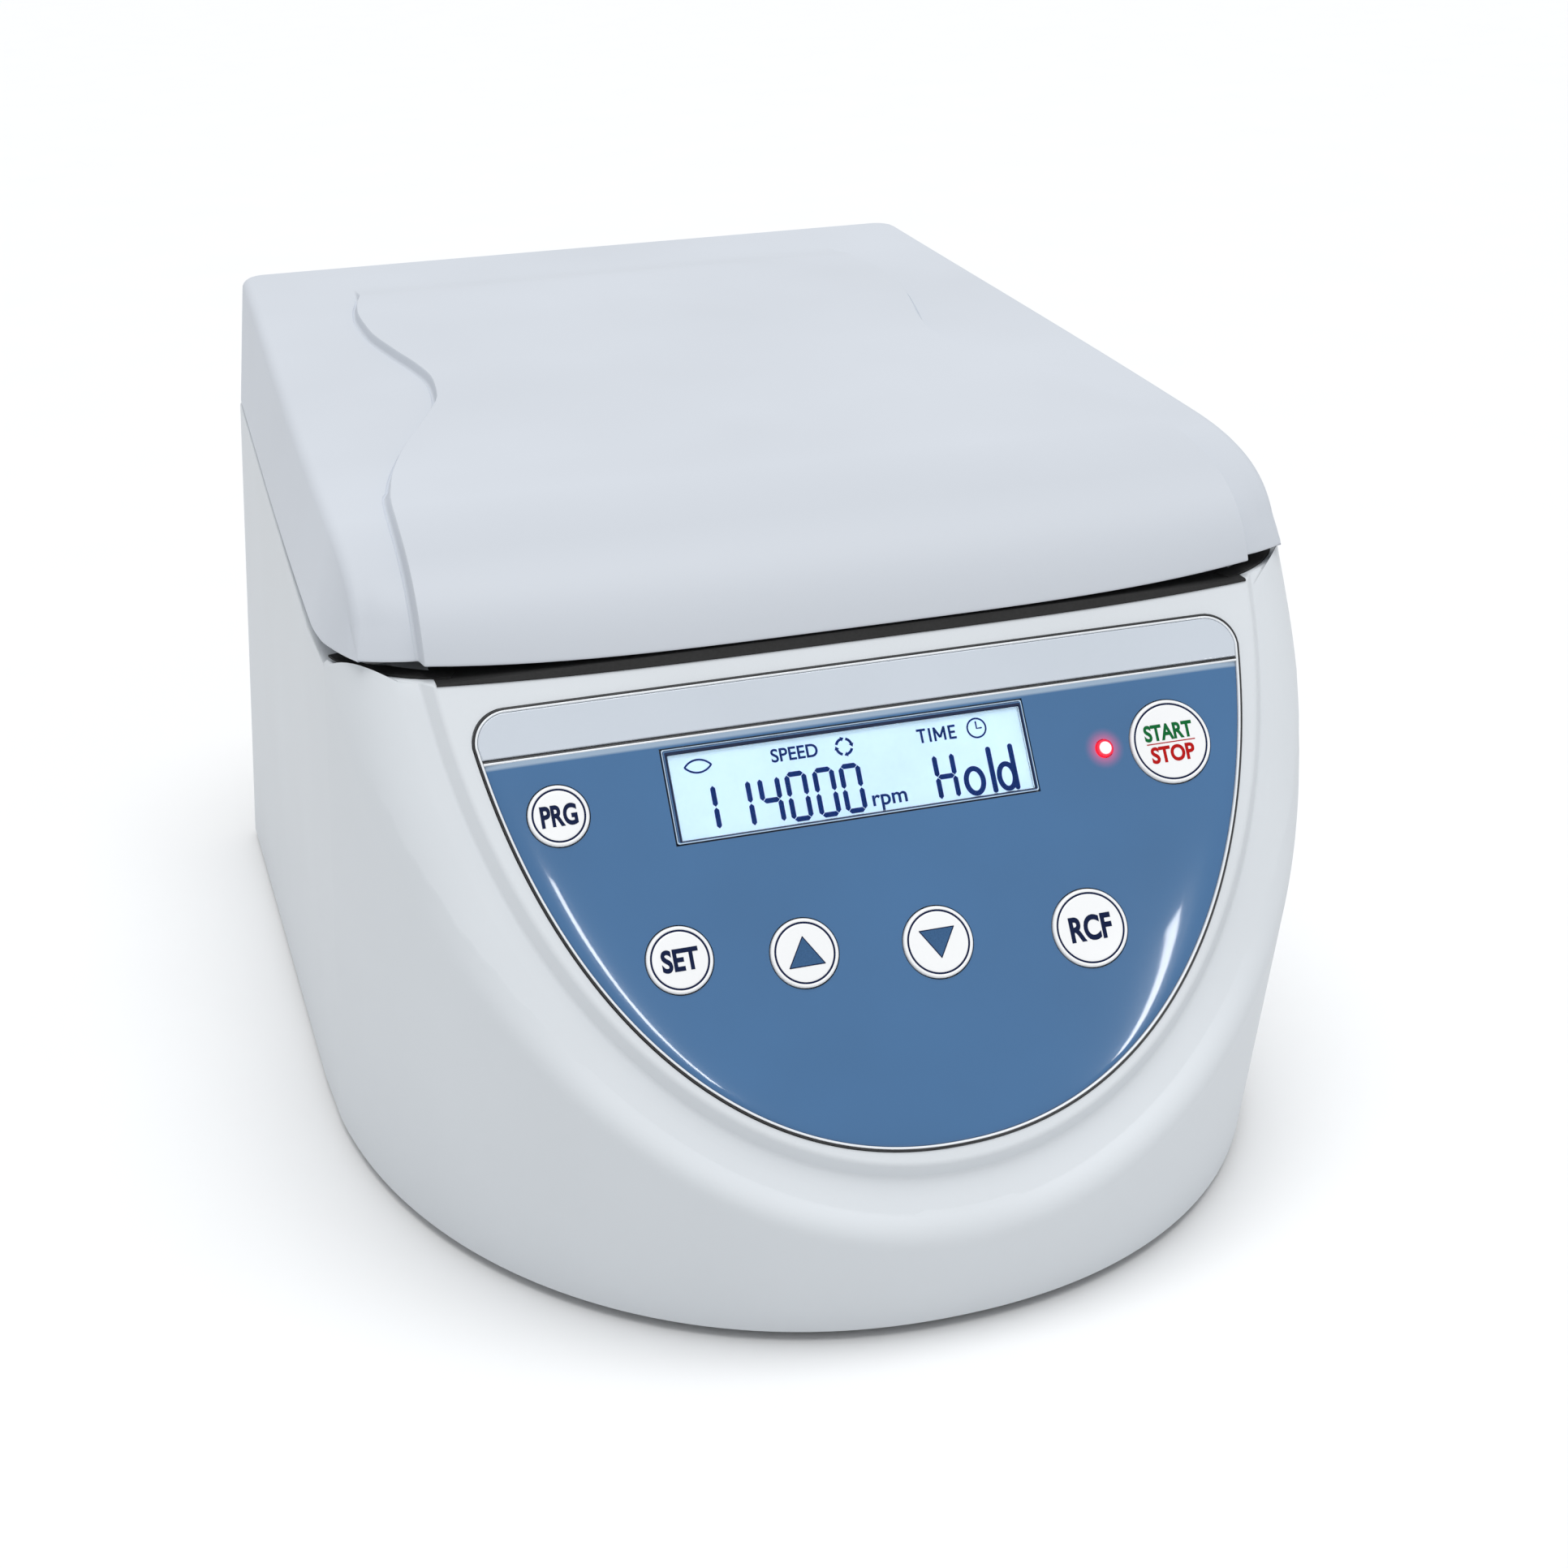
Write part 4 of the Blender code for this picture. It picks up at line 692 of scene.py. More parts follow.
def frontOutlines(steps):
    half, start, low, power = (panel[name] for name in ("shieldHalf", "shieldStart", "shieldLow", "shieldPower"))
    flank = panel["shieldFlank"]
    lean = -panel["shieldRise"] * (math.tan(panel["lean"]) + deckSlope)
    return bow(half, start, low, power, 0.0, steps), bow(half + flank, start, low + flank, power, lean, steps)


def housingColumns(frontSteps, sideSteps, cornerSteps, shoulderSteps, fine):
    # Right half from the middle of the rear to the middle of the front, each column running upwards
    columns = []
    rearAndSide = [lambda height: (0.0, 0.0), lambda height: (rearPoint(0.0, height)[0] / 2, 0.0)]
    for step in range(cornerSteps + 1):
        rearAndSide.append(lambda height, turn=math.pi / 2 * step / cornerSteps: rearPoint(turn, height))
    for step in range(1, sideSteps + 1):
        share = step / sideSteps
        first = housing["rearRadius"] / housing["baseSideDepth"]
        rearAndSide.append(lambda height, share=mix(first, 1.0, share): sidePoint(share, height))
    for pointAt in rearAndSide:
        top = toDeck(pointAt)
        levels = (0.0, 0.25 * top, 0.5 * top, 0.75 * top, top) if fine else (0.0, top / 2, top)
        columns.append([at(*pointAt(level), level) for level in levels])
    edge, foot = frontOutlines(frontSteps)
    for step in range(frontSteps + 1):
        lower, shoulder, rim = shoulderLine(step, frontSteps, foot, edge, shoulderSteps)
        if step == 0:
            shoulder = [ontoDeck(point) for point in shoulder]
        if fine:
            inward = panelNormal.cross(rim - onPanel(0.0, 20.0, 0.0)).cross(panelNormal).normalized()
            crease, rest = softCrease(lower[1], shoulder, ease(step / housing["softSteps"]))
            footPoints = filleted(shoulder[-3], shoulder[-1], rim, housing["footRound"] * mm)
            rimPoints = filleted(shoulder[-1], rim, rim - inward * 10 * mm, housing["edgeRound"] * mm)
            column = [lower[0], mix(lower[0], lower[1], 0.5), lower[1], mix(lower[1], shoulder[0], 0.5)]
            column += crease + rest + footPoints + rimPoints
        else:
            column = lower + shoulder + [rim]
        columns.append(column)
    return columns


def housingSkin(frontSteps, sideSteps, cornerSteps, shoulderSteps, fine):
    right = housingColumns(frontSteps, sideSteps, cornerSteps, shoulderSteps, fine)
    skin = bmesh.new()
    left = [[Vector((-point.x, point.y, point.z)) for point in column] for column in reversed(right[1:-1])]
    around = cornersOf(skin, right + left)
    low = len(right[0]) - 1
    weight = skin.edges.layers.float.new("bevel_weight_edge")
    for index, column in enumerate(around):
        after = around[(index + 1) % len(around)]
        for level in range(min(len(column), len(after)) - 1):
            skin.faces.new((column[level], after[level], after[level + 1], column[level + 1]))
    start = len(right) - frontSteps - 1
    front = around[start:len(right) + frontSteps]
    skin.faces.new([column[-1] for column in front])
    deck = [column[-1] for column in around[:start]] + front[0][low:]
    deck += list(reversed(front[-1][low:])) + [column[-1] for column in around[len(right) + frontSteps:]]
    top = skin.faces.new(deck)
    for edge in top.edges:
        edge[weight] = 1.0
    if fine:
        bottom = skin.faces.new([column[0] for column in around])
        for edge in bottom.edges:
            edge[weight] = housing["lowRound"] / housing["deckRound"]
    return skin


def housingHollow():
    # The inner wall: a plainer skin moved inwards by the wall and closed below the base
    solid = housingSkin(24, 3, 3, 4, False)
    piece = meshObject("hollow", solid)
    count = len(piece.data.vertices)
    shell = piece.modifiers.new("shell", "SOLIDIFY")
    shell.thickness = housing["wall"] * mm
    shell.offset = -1.0
    shell.use_even_offset = True
    shell.use_rim = False
    finishModifiers(piece)
    inner = bmesh.new()
    inner.from_mesh(piece.data)
    inner.verts.ensure_lookup_table()
    bmesh.ops.delete(inner, geom=[vertex for vertex in inner.verts if vertex.index < count], context="VERTS")
    rim = [edge for edge in inner.edges if edge.is_boundary]
    low = bmesh.ops.extrude_edge_only(inner, edges=rim)["geom"]
    moved = [part for part in low if isinstance(part, bmesh.types.BMVert)]
    for vertex in moved:
        vertex.co.z = housing["hollowLow"] * mm
    bmesh.ops.contextual_create(inner, geom=[part for part in low if isinstance(part, bmesh.types.BMEdge)])
    old = piece.data
    bpy.data.objects.remove(piece)
    bpy.data.meshes.remove(old)
    return meshObject("hollow", inner)


def sheetBow(inset, first, steps=72):
    return bow(panel["sheetHalf"] - inset, panel["sheetStart"], panel["sheetLow"] - inset, panel["sheetPower"],
               first, steps)


def sheetOutline(growth):
    side = sheetBow(-growth, panel["sheetTop"] + panel["sheetCorner"], 48)
    centre = (side[0][0] - panel["sheetCorner"], panel["sheetTop"] - growth + panel["sheetCorner"])
    return mirrored(arc(centre, panel["sheetCorner"], -math.pi / 2, 0.0, 10)[:-1] + side)


def displayOutline(margin):
    half = panel["displayWidth"] / 2 - margin
    tall = panel["displayHeight"] / 2 - margin
    return [(panel["displayX"] + side * half, panel["displayDown"] + up * tall)
            for side, up in ((1, 1), (-1, 1), (-1, -1), (1, -1))]


def panelHoles(displayMargin, margin):
    # Cutters for the display, the keys and the lamp
    low, high = -12.0, 8.0
    holes = [panelSolid("displayHole", displayOutline(displayMargin), low, high)]
    rounds = [(key["x"], key["down"], key["radius"] + margin, 64) for key in keys.values()]
    rounds.append((panel["lampX"], panel["lampDown"], panel["lampRadius"] + margin, 32))
    return holes + [panelSolid("roundHole", circleOutline(*place), low, high) for place in rounds]


def boxAt(name, low, high):
    first = at(*low)
    second = at(*high)
    corners = [(first.x, first.y), (second.x, first.y), (second.x, second.y), (first.x, second.y)]
    return meshObject(name, loft([[Vector((x, y, z)) for x, y in corners] for z in (first.z, second.z)]))


def makeHousing(material):
    part = housing
    spare = part["clearance"]
    piece = meshObject("housingSkin", housingSkin(60, 14, 8, 18, True), material)
    edges = piece.modifiers.new("edges", "BEVEL")
    edges.limit_method = "WEIGHT"
    edges.width = part["deckRound"] * mm
    edges.segments = 4
    finishModifiers(piece)
    tools = [housingHollow(), panelSolid("pocket", sheetOutline(spare), -panel["pocket"], 6.0)]
    holes = panelHoles(panel["displayBand"] + spare, spare)
    low, high, radius = part["holeLow"], part["holeHigh"], part["chamberRadius"]
    section = [(0, part["chamberLow"]), (radius, part["chamberLow"]), (radius, high), (0, high)]
    chamber = meshObject("chamber", turnedSolid(section, 128))
    chamber.matrix_world = Matrix.Translation(at(0, part["chamberDepth"], 0))
    holes.append(settle(chamber))
    near, far = part["lockDepth"] - part["lockReach"], part["lockDepth"] + part["lockReach"]
    boxes = [(0.0, part["lockHalf"], near, far)]
    boxes += [(side * part["bracketX"], part["bracketHalf"], part["bracketNear"], part["bracketFar"])
              for side in (-1, 1)]
    holes += [boxAt("deckHole", (x - half, near, low), (x + half, far, high)) for x, half, near, far in boxes]
    near, far = part["rearReach"]
    holes.append(boxAt("rearHole", (-part["rearHalf"], near, part["rearLow"]),
                       (part["rearHalf"], far, part["rearHigh"])))
    tools.append(joinMeshes("holes", holes))
    cutAway(piece, tools)
    evenShading(piece)
    return fit(piece, "base", "housing", finish="housing_plastic")


makeHousing(mouldedPlastic("housingPlastic", colours["housing"], 0.50))
print("housing made")

# Lid

lid = {
    "low": 155.6, "top": 196.7, "fall": 0.0676, "wall": 3.0, "rearCorner": 8.0, "edgeRound": 3.2, "draft": 1.5,
    "lowRound": 0.6, "hingeReach": 8.0, "rearHalf": 119.6, "rearTopHalf": 114.8,
    "seamHalf": ((0, 119.6), (80, 121.9), (163, 124.2), (240, 125.8), (262, 126.1), (273, 125.4), (282, 123.2),
                 (288, 121.0), (292.4, 118.9)),
    "topHalf": ((0, 114.8), (250, 119.5), (292.4, 118.9)),
    "knee": 242.0, "kneeReach": 50.0, "front": 298.5, "cornerReach": 45.0, "cornerFront": 292.4,
    "noseHalf": 99.0,
    "raise": 2.5, "raisedKnee": 246.0, "raisedReach": 50.0, "raisedFront": 302.0, "raisedBand": 1.0,
    "edgeShare": 0.8, "edgeLeast": 0.7, "edgeLimit": 0.42,
    "rowsAlong": 56, "rowsDown": 34, "lastShares": (0.982, 0.989, 0.994, 0.9975, 1.0),
    "skirtLevels": (14.0, 8.0, 6.0, 4.4, 3.0, 1.8, 0.9, 0.6, 0.3, 0.12, 0.0),
    "raisedStart": 34.0, "raisedFull": 56.0, "groove": ((0.2, 0.24), (0.4, 0.36), (0.6, 0.24), (0.8, 0.0)),
    # the last three values darken the lid's front face: painted shade, standing in for the shade that face gets
    # under the overhead light
    "frontWeight": 1.3, "toneStart": 256.0, "toneEnd": 282.0, "tone": 0.925,
    "bowHalf": 105.0, "bowPower": 3.6, "bowReach": 3.0, "bowDrop": 3.1,
    "raisedHalf": ((30, 81.2), (50, 81.9), (62, 84.4), (77, 85.9), (95, 85.3), (119, 81.2), (135, 77.7),
                   (150, 75.8), (167, 77.1), (186, 83.3), (214, 94.4), (236, 100.5), (255, 103.3), (302, 105.1)),
    "slotX": 70.0, "slotHalf": 2.6, "slotDepth": 14.0, "slotHeight": 15.5,
}


def lidTop(depth):
    return lid["top"] - lid["fall"] * depth


def frontCurve(knee, reach, front, rise, t):
    start = Vector((knee, lidTop(knee) + rise))
    corner = Vector((knee + reach, lidTop(knee + reach) + rise))
    first, middle, last = (1 - t) ** 2, 2 * lid["frontWeight"] * t * (1 - t), t * t
    return (start * first + corner * middle + Vector((front, lid["low"])) * last) / (first + middle + last)


def edgeReach(inset):
    return max(lid["edgeRound"] - lid["edgeShare"] * inset, lid["edgeLeast"])


def roundGap(radius, rise):
    # How far a quarter round stays back at a height above its start
    return radius - math.sqrt(max(radius ** 2 - (radius - rise) ** 2, 0.0))


def lidRows(inset, raised):
    # Each row: turn round the rear corner, plain top, side edge, raised centre and share of the front bow
    rows = []
    arcSteps = 7
    reach = edgeReach(inset)
    corner = lid["rearCorner"] - inset
    rear = inset + lid["draft"]
    depths = [(step, rear + corner - (corner - reach) * math.cos(math.pi / 2 * step / arcSteps))
              for step in range(arcSteps + 1)]
    along = lid["rowsAlong"]
    depths += [(arcSteps, mix(rear + corner, lid["knee"] - 3, step / along)) for step in range(1, along + 1)]
    for step, depth in depths:
        fade = ease((depth - lid["raisedStart"]) / (lid["raisedFull"] - lid["raisedStart"])) if raised else 0.0
        plain = Vector((depth, lidTop(depth) - inset))
        rows.append((step / arcSteps, plain, plain, Vector((depth, plain.y + lid["raise"] * fade)), 0.0))
    rise = lid["raise"] if raised else 0.0
    lead = 1.0 if raised else 0.0
    for t in [step / lid["rowsDown"] for step in range(lid["rowsDown"])] + list(lid["lastShares"]):
        plain = frontCurve(lid["knee"], lid["kneeReach"], lid["front"] - inset, -inset, t)
        edge = frontCurve(lid["knee"], lid["cornerReach"], lid["cornerFront"] - inset, -inset, t)
        centre = frontCurve(mix(lid["knee"], lid["raisedKnee"], lead), lid["raisedReach"],
                            mix(lid["front"], lid["raisedFront"], lead) - inset, rise - inset, t)
        rows.append((1.0, plain, edge, centre, t * t))
    return rows


def frontBow(x):
    # The lid's front edge and its seal hang a little further forward and lower towards the middle
    return max(1 - (abs(x) / lid["bowHalf"]) ** lid["bowPower"], 0.0)


def lidLine(row, inset, raised):
    # One line of the top grid out to where the rounded edge starts, and that edge's reach
    turn, plain, edge, centre, sag = row
    reach = min(edgeReach(inset), lid["edgeLimit"] * max(edge.y - lid["low"], 0.0))
    half = smoothThrough(lid["topHalf"], edge.x) - inset
    end = half - reach
    if turn < 1.0:
        corner = lid["rearCorner"] - inset
        end = half - corner + (corner - reach) * math.sin(turn * math.pi / 2)
    boundary = smoothThrough(lid["raisedHalf"], centre.x)
    band = [boundary + lid["raisedBand"] * (step / 8 - 0.5) for step in range(9)]
    columns = [(band[0] * step / 16, 0.0) for step in range(16)] + [(x, 0.0) for x in band]
    columns += [(band[-1] + across, dip) for across, dip in lid["groove"]]
    columns += [(mix(columns[-1][0], end, step / 7), 0.0) for step in range(1, 8)]
    carved = min((centre - edge).length / lid["raise"], 1.0) if raised else 0.0
    line = []
    for x, dip in columns:
        across = ease((boundary - x) / lid["raisedBand"] + 0.5) if raised else 0.0
        back = min(max((x - lid["noseHalf"]) / max(end - lid["noseHalf"], 1.0), 0.0), 1.0) ** 2
        low = plain + (edge - plain) * back
        spot = low + (centre - low) * across - Vector((0.0, dip * carved))
        rise = spot.y - lid["low"]
        if rise < lid["lowRound"]:
            spot.x -= roundGap(lid["lowRound"], rise)
        bowed = sag * frontBow(x)
        height = max(spot.y, lid["low"]) - lid["bowDrop"] * bowed
        line.append(Vector((x, spot.x + lid["bowReach"] * bowed, height)))
    return line, reach


def lidStrip(point, turn, reach, normal, depth, inset):
    # From a point of the grid's border over the rounded edge and down the skirt
    angle = turn * math.pi / 2
    outward = Vector((math.sin(angle), -math.cos(angle), 0.0))
    strip = [point]
    for step in range(1, 6):
        bend = math.pi / 2 * step / 5
        strip.append(point + outward * reach * math.sin(bend) - normal * reach * (1 - math.cos(bend)))
    start = strip[-1]
    middle = lid["rearHalf"] - lid["rearCorner"]
    if depth is None:
        share = middle / (lid["rearTopHalf"] - lid["rearCorner"])
        foot = Vector((start.x * share, inset, lid["low"]))
    elif turn < 1.0:
        foot = Vector((middle, lid["rearCorner"], lid["low"])) + outward * (lid["rearCorner"] - inset)
    else:
        foot = Vector((smoothThrough(lid["seamHalf"], depth) - inset, depth, lid["low"]))
    tall = max(start.z - lid["low"], 0.0)
    scale = min(1.0, 0.8 * tall / lid["skirtLevels"][0])
    for level in lid["skirtLevels"]:
        height = level * scale
        spot = foot + (start - foot) * (height / tall if tall > 0 else 0.0)
        curve = lid["lowRound"] * scale
        if height < curve:
            spot -= outward * roundGap(curve, height)
        if height < lid["hingeReach"]:
            reachBack = (lid["hingeReach"] - inset) ** 2 - (lid["hingeReach"] - height) ** 2
            spot.y = max(spot.y, lid["hingeReach"] - math.sqrt(max(reachBack, 0.0)))
        strip.append(spot)
    return strip


def lidSkin(inset, raised):
    # Right half of one skin: the top grid, and a strip down from each point of its border
    rows = lidRows(inset, raised)
    grid = []
    border = []
    for index, row in enumerate(rows):
        line, reach = lidLine(row, inset, raised)
        grid.append(line)
        before = rows[max(index - 1, 0)][2]
        after = rows[min(index + 1, len(rows) - 1)][2]
        slope = (after - before).normalized() if (after - before).length > 0 else Vector((1.0, 0.0))
        border.append((line[-1], row[0], reach, Vector((0.0, -slope.y, slope.x)), row[2].x))
    rear = [(point, 0.0, *border[0][2:4], None) for point in grid[0][:-1]]
    return grid, [lidStrip(*place, inset) for place in rear + border]


def makeLid(material):
    solid = bmesh.new()
    skins = [lidSkin(0.0, True), lidSkin(lid["wall"], False)]
    for side in (1, -1):
        rims = []
        for skin in skins:
            made, edges = ([[solid.verts.new(at(side * p.x, p.y, p.z)) for p in line] for line in lines]
                           for lines in skin)
            stitch(solid, made, closed=False)
            stitch(solid, edges, closed=False)
            rims.append([strip[-1] for strip in edges] + list(reversed(made[-1][:-1])))
        for index in range(len(rims[0]) - 1):
            solid.faces.new((rims[0][index], rims[0][index + 1], rims[1][index + 1], rims[1][index]))
    bmesh.ops.remove_doubles(solid, verts=solid.verts, dist=0.004 * mm)
    bmesh.ops.dissolve_degenerate(solid, dist=0.001 * mm, edges=solid.edges)
    piece = meshObject("lidShell", solid, material)
    slots = []
    for side in (-1, 1):
        middle = side * lid["slotX"]
        slots.append(boxAt("slot", (middle - lid["slotHalf"], -6, lid["low"] - 6),
                           (middle + lid["slotHalf"], lid["slotDepth"], lid["low"] + lid["slotHeight"])))
    cutAway(piece, [joinMeshes("slots", slots)])
    evenShading(piece)
    return fit(piece, "lid", "lid_shell", finish="lid_plastic")


def lidPlasticWithPaintedShade():
    # The lid's plastic, with painted shade darkening its front face, standing in for the shade that face gets
    # under the overhead light
    material = mouldedPlastic("lidPlasticPaintedShade", colours["lid"], 0.52)
    tree = material.node_tree
    fromRear = vectorStep(tree, "SUBTRACT", spotOn(tree), at(0, 0, 0))
    depth = vectorStep(tree, "DOT_PRODUCT", fromRear, (0.0, -1.0, 0.0), "Value")
    # painted shade: the base colour darkens over the lid's front face
    front = rangeOf(tree, depth, 0.0, 1.0, lid["toneStart"] * mm, lid["toneEnd"] * mm)
    paint(tree, BaseColor=tintOver(tree, baseTone(tree), front, shade(colours["lid"], lid["tone"])))
    return material


makeLid(lidPlasticWithPaintedShade())
print("lid made")

# Panel sheets

sheets = {
    "crown": ((0.0, -0.20), (0.08, -0.02), (0.25, 0.08), (0.6, 0.16), (1.2, 0.25), (2.0, 0.335), (3.0, 0.410),
              (4.2, 0.475), (5.6, 0.525), (7.4, 0.565), (9.6, 0.590), (12.5, 0.60)),
    "inset": 1.02, "bandTop": 20.2, "fadeTop": 21.3, "bandLow": 21.9,
    "edge": ((-0.10, -0.88), (-0.10, 0.30), (0.0, 0.42), (0.18, 0.44), (0.30, 0.36), (0.34, 0.2), (0.34, -0.88)),
    "bead": ((0.38, -0.85), (0.38, 0.42), (0.44, 0.56), (0.56, 0.66), (0.68, 0.68), (0.82, 0.62), (0.94, 0.44),
             (0.98, 0.2), (0.98, -0.85)),
    "seam": ((19.46, -0.85), (19.46, 0.30), (19.56, 0.40), (19.72, 0.42), (19.80, 0.30), (19.80, -0.85)),
    "divider": ((19.84, -0.85), (19.84, 0.50), (19.92, 0.64), (20.12, 0.72), (20.32, 0.64), (20.42, 0.48),
                (20.42, -0.85)),
}


def sheetRing(inset):
    # The whole outline of the sheets, moved inwards
    corner = panel["sheetCorner"] - inset
    side = sheetBow(inset, panel["sheetTop"] + panel["sheetCorner"])
    centre = (side[0][0] - corner, panel["sheetTop"] + panel["sheetCorner"])
    return mirrored(arc(centre, corner, -math.pi / 2, 0.0, 12)[:-1] + side)


def closedRing(name, profile, outlineAt, material):
    # A closed (inset, out) profile carried round an outline
    rings = [panelRing(outlineAt(inset), out) for inset, out in profile]
    return evenShading(meshObject(name, carriedRound(rings), material), 40.0)


def acrossBar(name, profile, material):
    # A straight bar across the sheet whose ends follow the sheet's sides
    halves = [bow(panel["sheetHalf"] - sheets["inset"], panel["sheetStart"], panel["sheetLow"],
                  panel["sheetPower"], down, 1)[0][0] for down, out in profile]
    rings = [[onPanel(half * side / 40, down, out) for half, (down, out) in zip(halves, profile)]
             for side in range(-40, 41)]
    return evenShading(meshObject(name, loft(rings), material), 40.0)


def makeOverlay(material):
    # Blue printed film under a clear coat that thickens towards the middle
    profile = [(0.0, panel["sheetSeat"]), *sheets["crown"]]
    solid = bmesh.new()
    rows = cornersOf(solid, [panelRing(mirrored(sheetBow(sheets["inset"] + inset, sheets["bandTop"])), out)
                             for inset, out in profile])
    stitch(solid, rows, closed=False)
    for outline in (rows[0], rows[-1], [row[0] for row in rows] + [row[-1] for row in reversed(rows)]):
        solid.faces.new(outline)
    piece = meshObject("overlayFilm", solid, material, 50.0)
    cutAway(piece, [joinMeshes("panelHoles", panelHoles(-housing["clearance"], housing["clearance"]))])
    evenShading(piece, 50.0)
    return fit(piece, "base", "control_overlay", finish="panel_film")


def makeStrip(material):
    level = panel["sheetTop"] + panel["sheetCorner"]
    side, low = sheetBow(0.0, level)[0][0], sheetBow(0.0, panel["stripLow"])[0][0]
    rings = []
    for inset, out in ((0.0, panel["sheetSeat"]), (0.0, 0.25), (0.06, 0.42), (0.18, 0.54), (0.35, 0.6)):
        away = inset + sheets["inset"]
        right = arc((side - panel["sheetCorner"], level), panel["sheetCorner"] - away, -math.pi / 2, 0.0, 14)
        right.append((low - away, panel["stripLow"] - inset))
        rings.append(panelRing(right + [(-x, down) for x, down in reversed(right)], out))
    piece = evenShading(meshObject("trimStrip", loft(rings), material))
    return fit(piece, "base", "trim_strip", finish="strip_film")


def makeRims():
    blackEdge = mouldedPlastic("blackEdge", colours["blackPlastic"], 0.3, 0.0, 0.15)
    chrome = glossFilm("beadSilver", colours["bead"], 0.16, 0.02)
    fit(closedRing("panelEdge", sheets["edge"], sheetRing, blackEdge), "base", finish="frame_plastic")
    fit(closedRing("panelBead", sheets["bead"], sheetRing, chrome), "base", finish="strip_film")
    fit(acrossBar("stripSeam", sheets["seam"], blackEdge), "base", finish="frame_plastic")
    fit(acrossBar("stripBead", sheets["divider"], chrome), "base", finish="strip_film")


makeOverlay(panelFilm("filmBlue", colours["filmBlue"], colours["filmEdge"], colours["lampGlow"]))
makeStrip(glossFilm("silverFilm", colours["silver"], 0.22, 0.02))
makeRims()
print("panel sheets made")

# Display: frame, lit module and what it shows

display = {
    "inkLow": -0.69, "inkHigh": -0.62, "stroke": 1.22, "letterStroke": 1.28, "gap": 0.10, "timeStroke": 0.56,
    "figures": (("1", -47.1, 32.3, 4.2, 10.5), ("1", -38.6, 32.4, 4.2, 10.9), ("4", -31.4, 32.4, 4.2, 10.9),
                ("0", -24.7, 32.4, 4.2, 10.9), ("0", -17.8, 32.4, 4.2, 10.9), ("0", -11.2, 32.4, 4.2, 10.9),
                ("H", 12.3, 32.9, 4.4, 10.9)),
    "bowls": ((21.4, 40.5, 2.15, 3.05), (29.75, 40.5, 1.95, 3.05)),
    "stems": (26.2, 31.9), "stemEnds": (33.3, 43.5),
    "lens": ((-45.4, 30.2, 4.3, 4.5, -2.42, -0.72, 12), (-45.4, 24.3, 4.3, 4.5, 0.72, 2.42, 12)),
    "lensStroke": 0.45,
    "turning": (-9.3, 27.6, 1.95), "turningFirst": 0.35, "turningReach": 0.95, "turningStroke": 0.64,
    "headHalf": 0.62, "headLong": 0.85,
    "clock": (24.5, 27.7, 2.35, 2.35), "clockStroke": 0.42, "hands": ((24.5, 26.2), (24.5, 27.8), (25.7, 27.8)),
    "handStroke": 0.40,
    "words": (("SPEED", -27.5, 25.75, 11.6, 3.3, 0.016), ("rpm", -4.9, 40.3, 8.7, 3.9, 0.014)),
    "frame": ((0.0, -0.9), (0.0, 0.58), (0.06, 0.70), (0.16, 0.76), (0.34, 0.76), (0.42, 0.68), (0.62, 0.64),
              (0.80, 0.52), (0.92, 0.30), (1.0, 0.0), (1.0, -0.9)),
    "line": ((0.04, 0.55), (0.07, 0.77), (0.12, 0.82), (0.26, 0.82), (0.31, 0.77), (0.34, 0.55)),
    "stripe": ((0.30, 0.50), (0.31, 0.77), (0.34, 0.79), (0.46, 0.72), (0.50, 0.68), (0.51, 0.50)),
    # leftTop and rightLow: the navy band is wider at the left and top, partly painted shade of the recess walls
    "leftTop": 1.5, "rightLow": 0.85, "corner": 0.5, "screenBack": -0.74, "screenFace": -0.70,
    "moduleBack": -6.3, "glassLow": -0.42, "glassHigh": 0.38,
    "timeStrokes": ((9.2, 26.3, 11.5, 26.3), (10.35, 26.5, 10.35, 29.5), (12.45, 26.1, 12.45, 29.5),
                    (13.7, 26.1, 13.7, 29.5), (13.75, 26.4, 14.95, 28.7), (14.95, 28.7, 16.15, 26.4),
                    (16.2, 26.1, 16.2, 29.5), (17.5, 26.1, 17.5, 29.5), (17.7, 26.35, 19.1, 26.35),
                    (17.7, 27.8, 18.9, 27.8), (17.7, 29.25, 19.1, 29.25)),
}


def bandOutline(share, extra=0.0):
    # The display's outline moved inwards by a share of its band, which is wider at the left and top, where the
    # dark band is partly painted shade standing in for the recess walls seen there
    half, tall = panel["displayWidth"] / 2, panel["displayHeight"] / 2
    near, far = display["leftTop"] * share + extra, display["rightLow"] * share + extra
    corner = max(display["corner"] * (1 - share), 0.08)
    x, down = panel["displayX"], panel["displayDown"]
    return roundedBox(x - half + near, x + half - far, down - tall + near, down + tall - far, corner, 4)


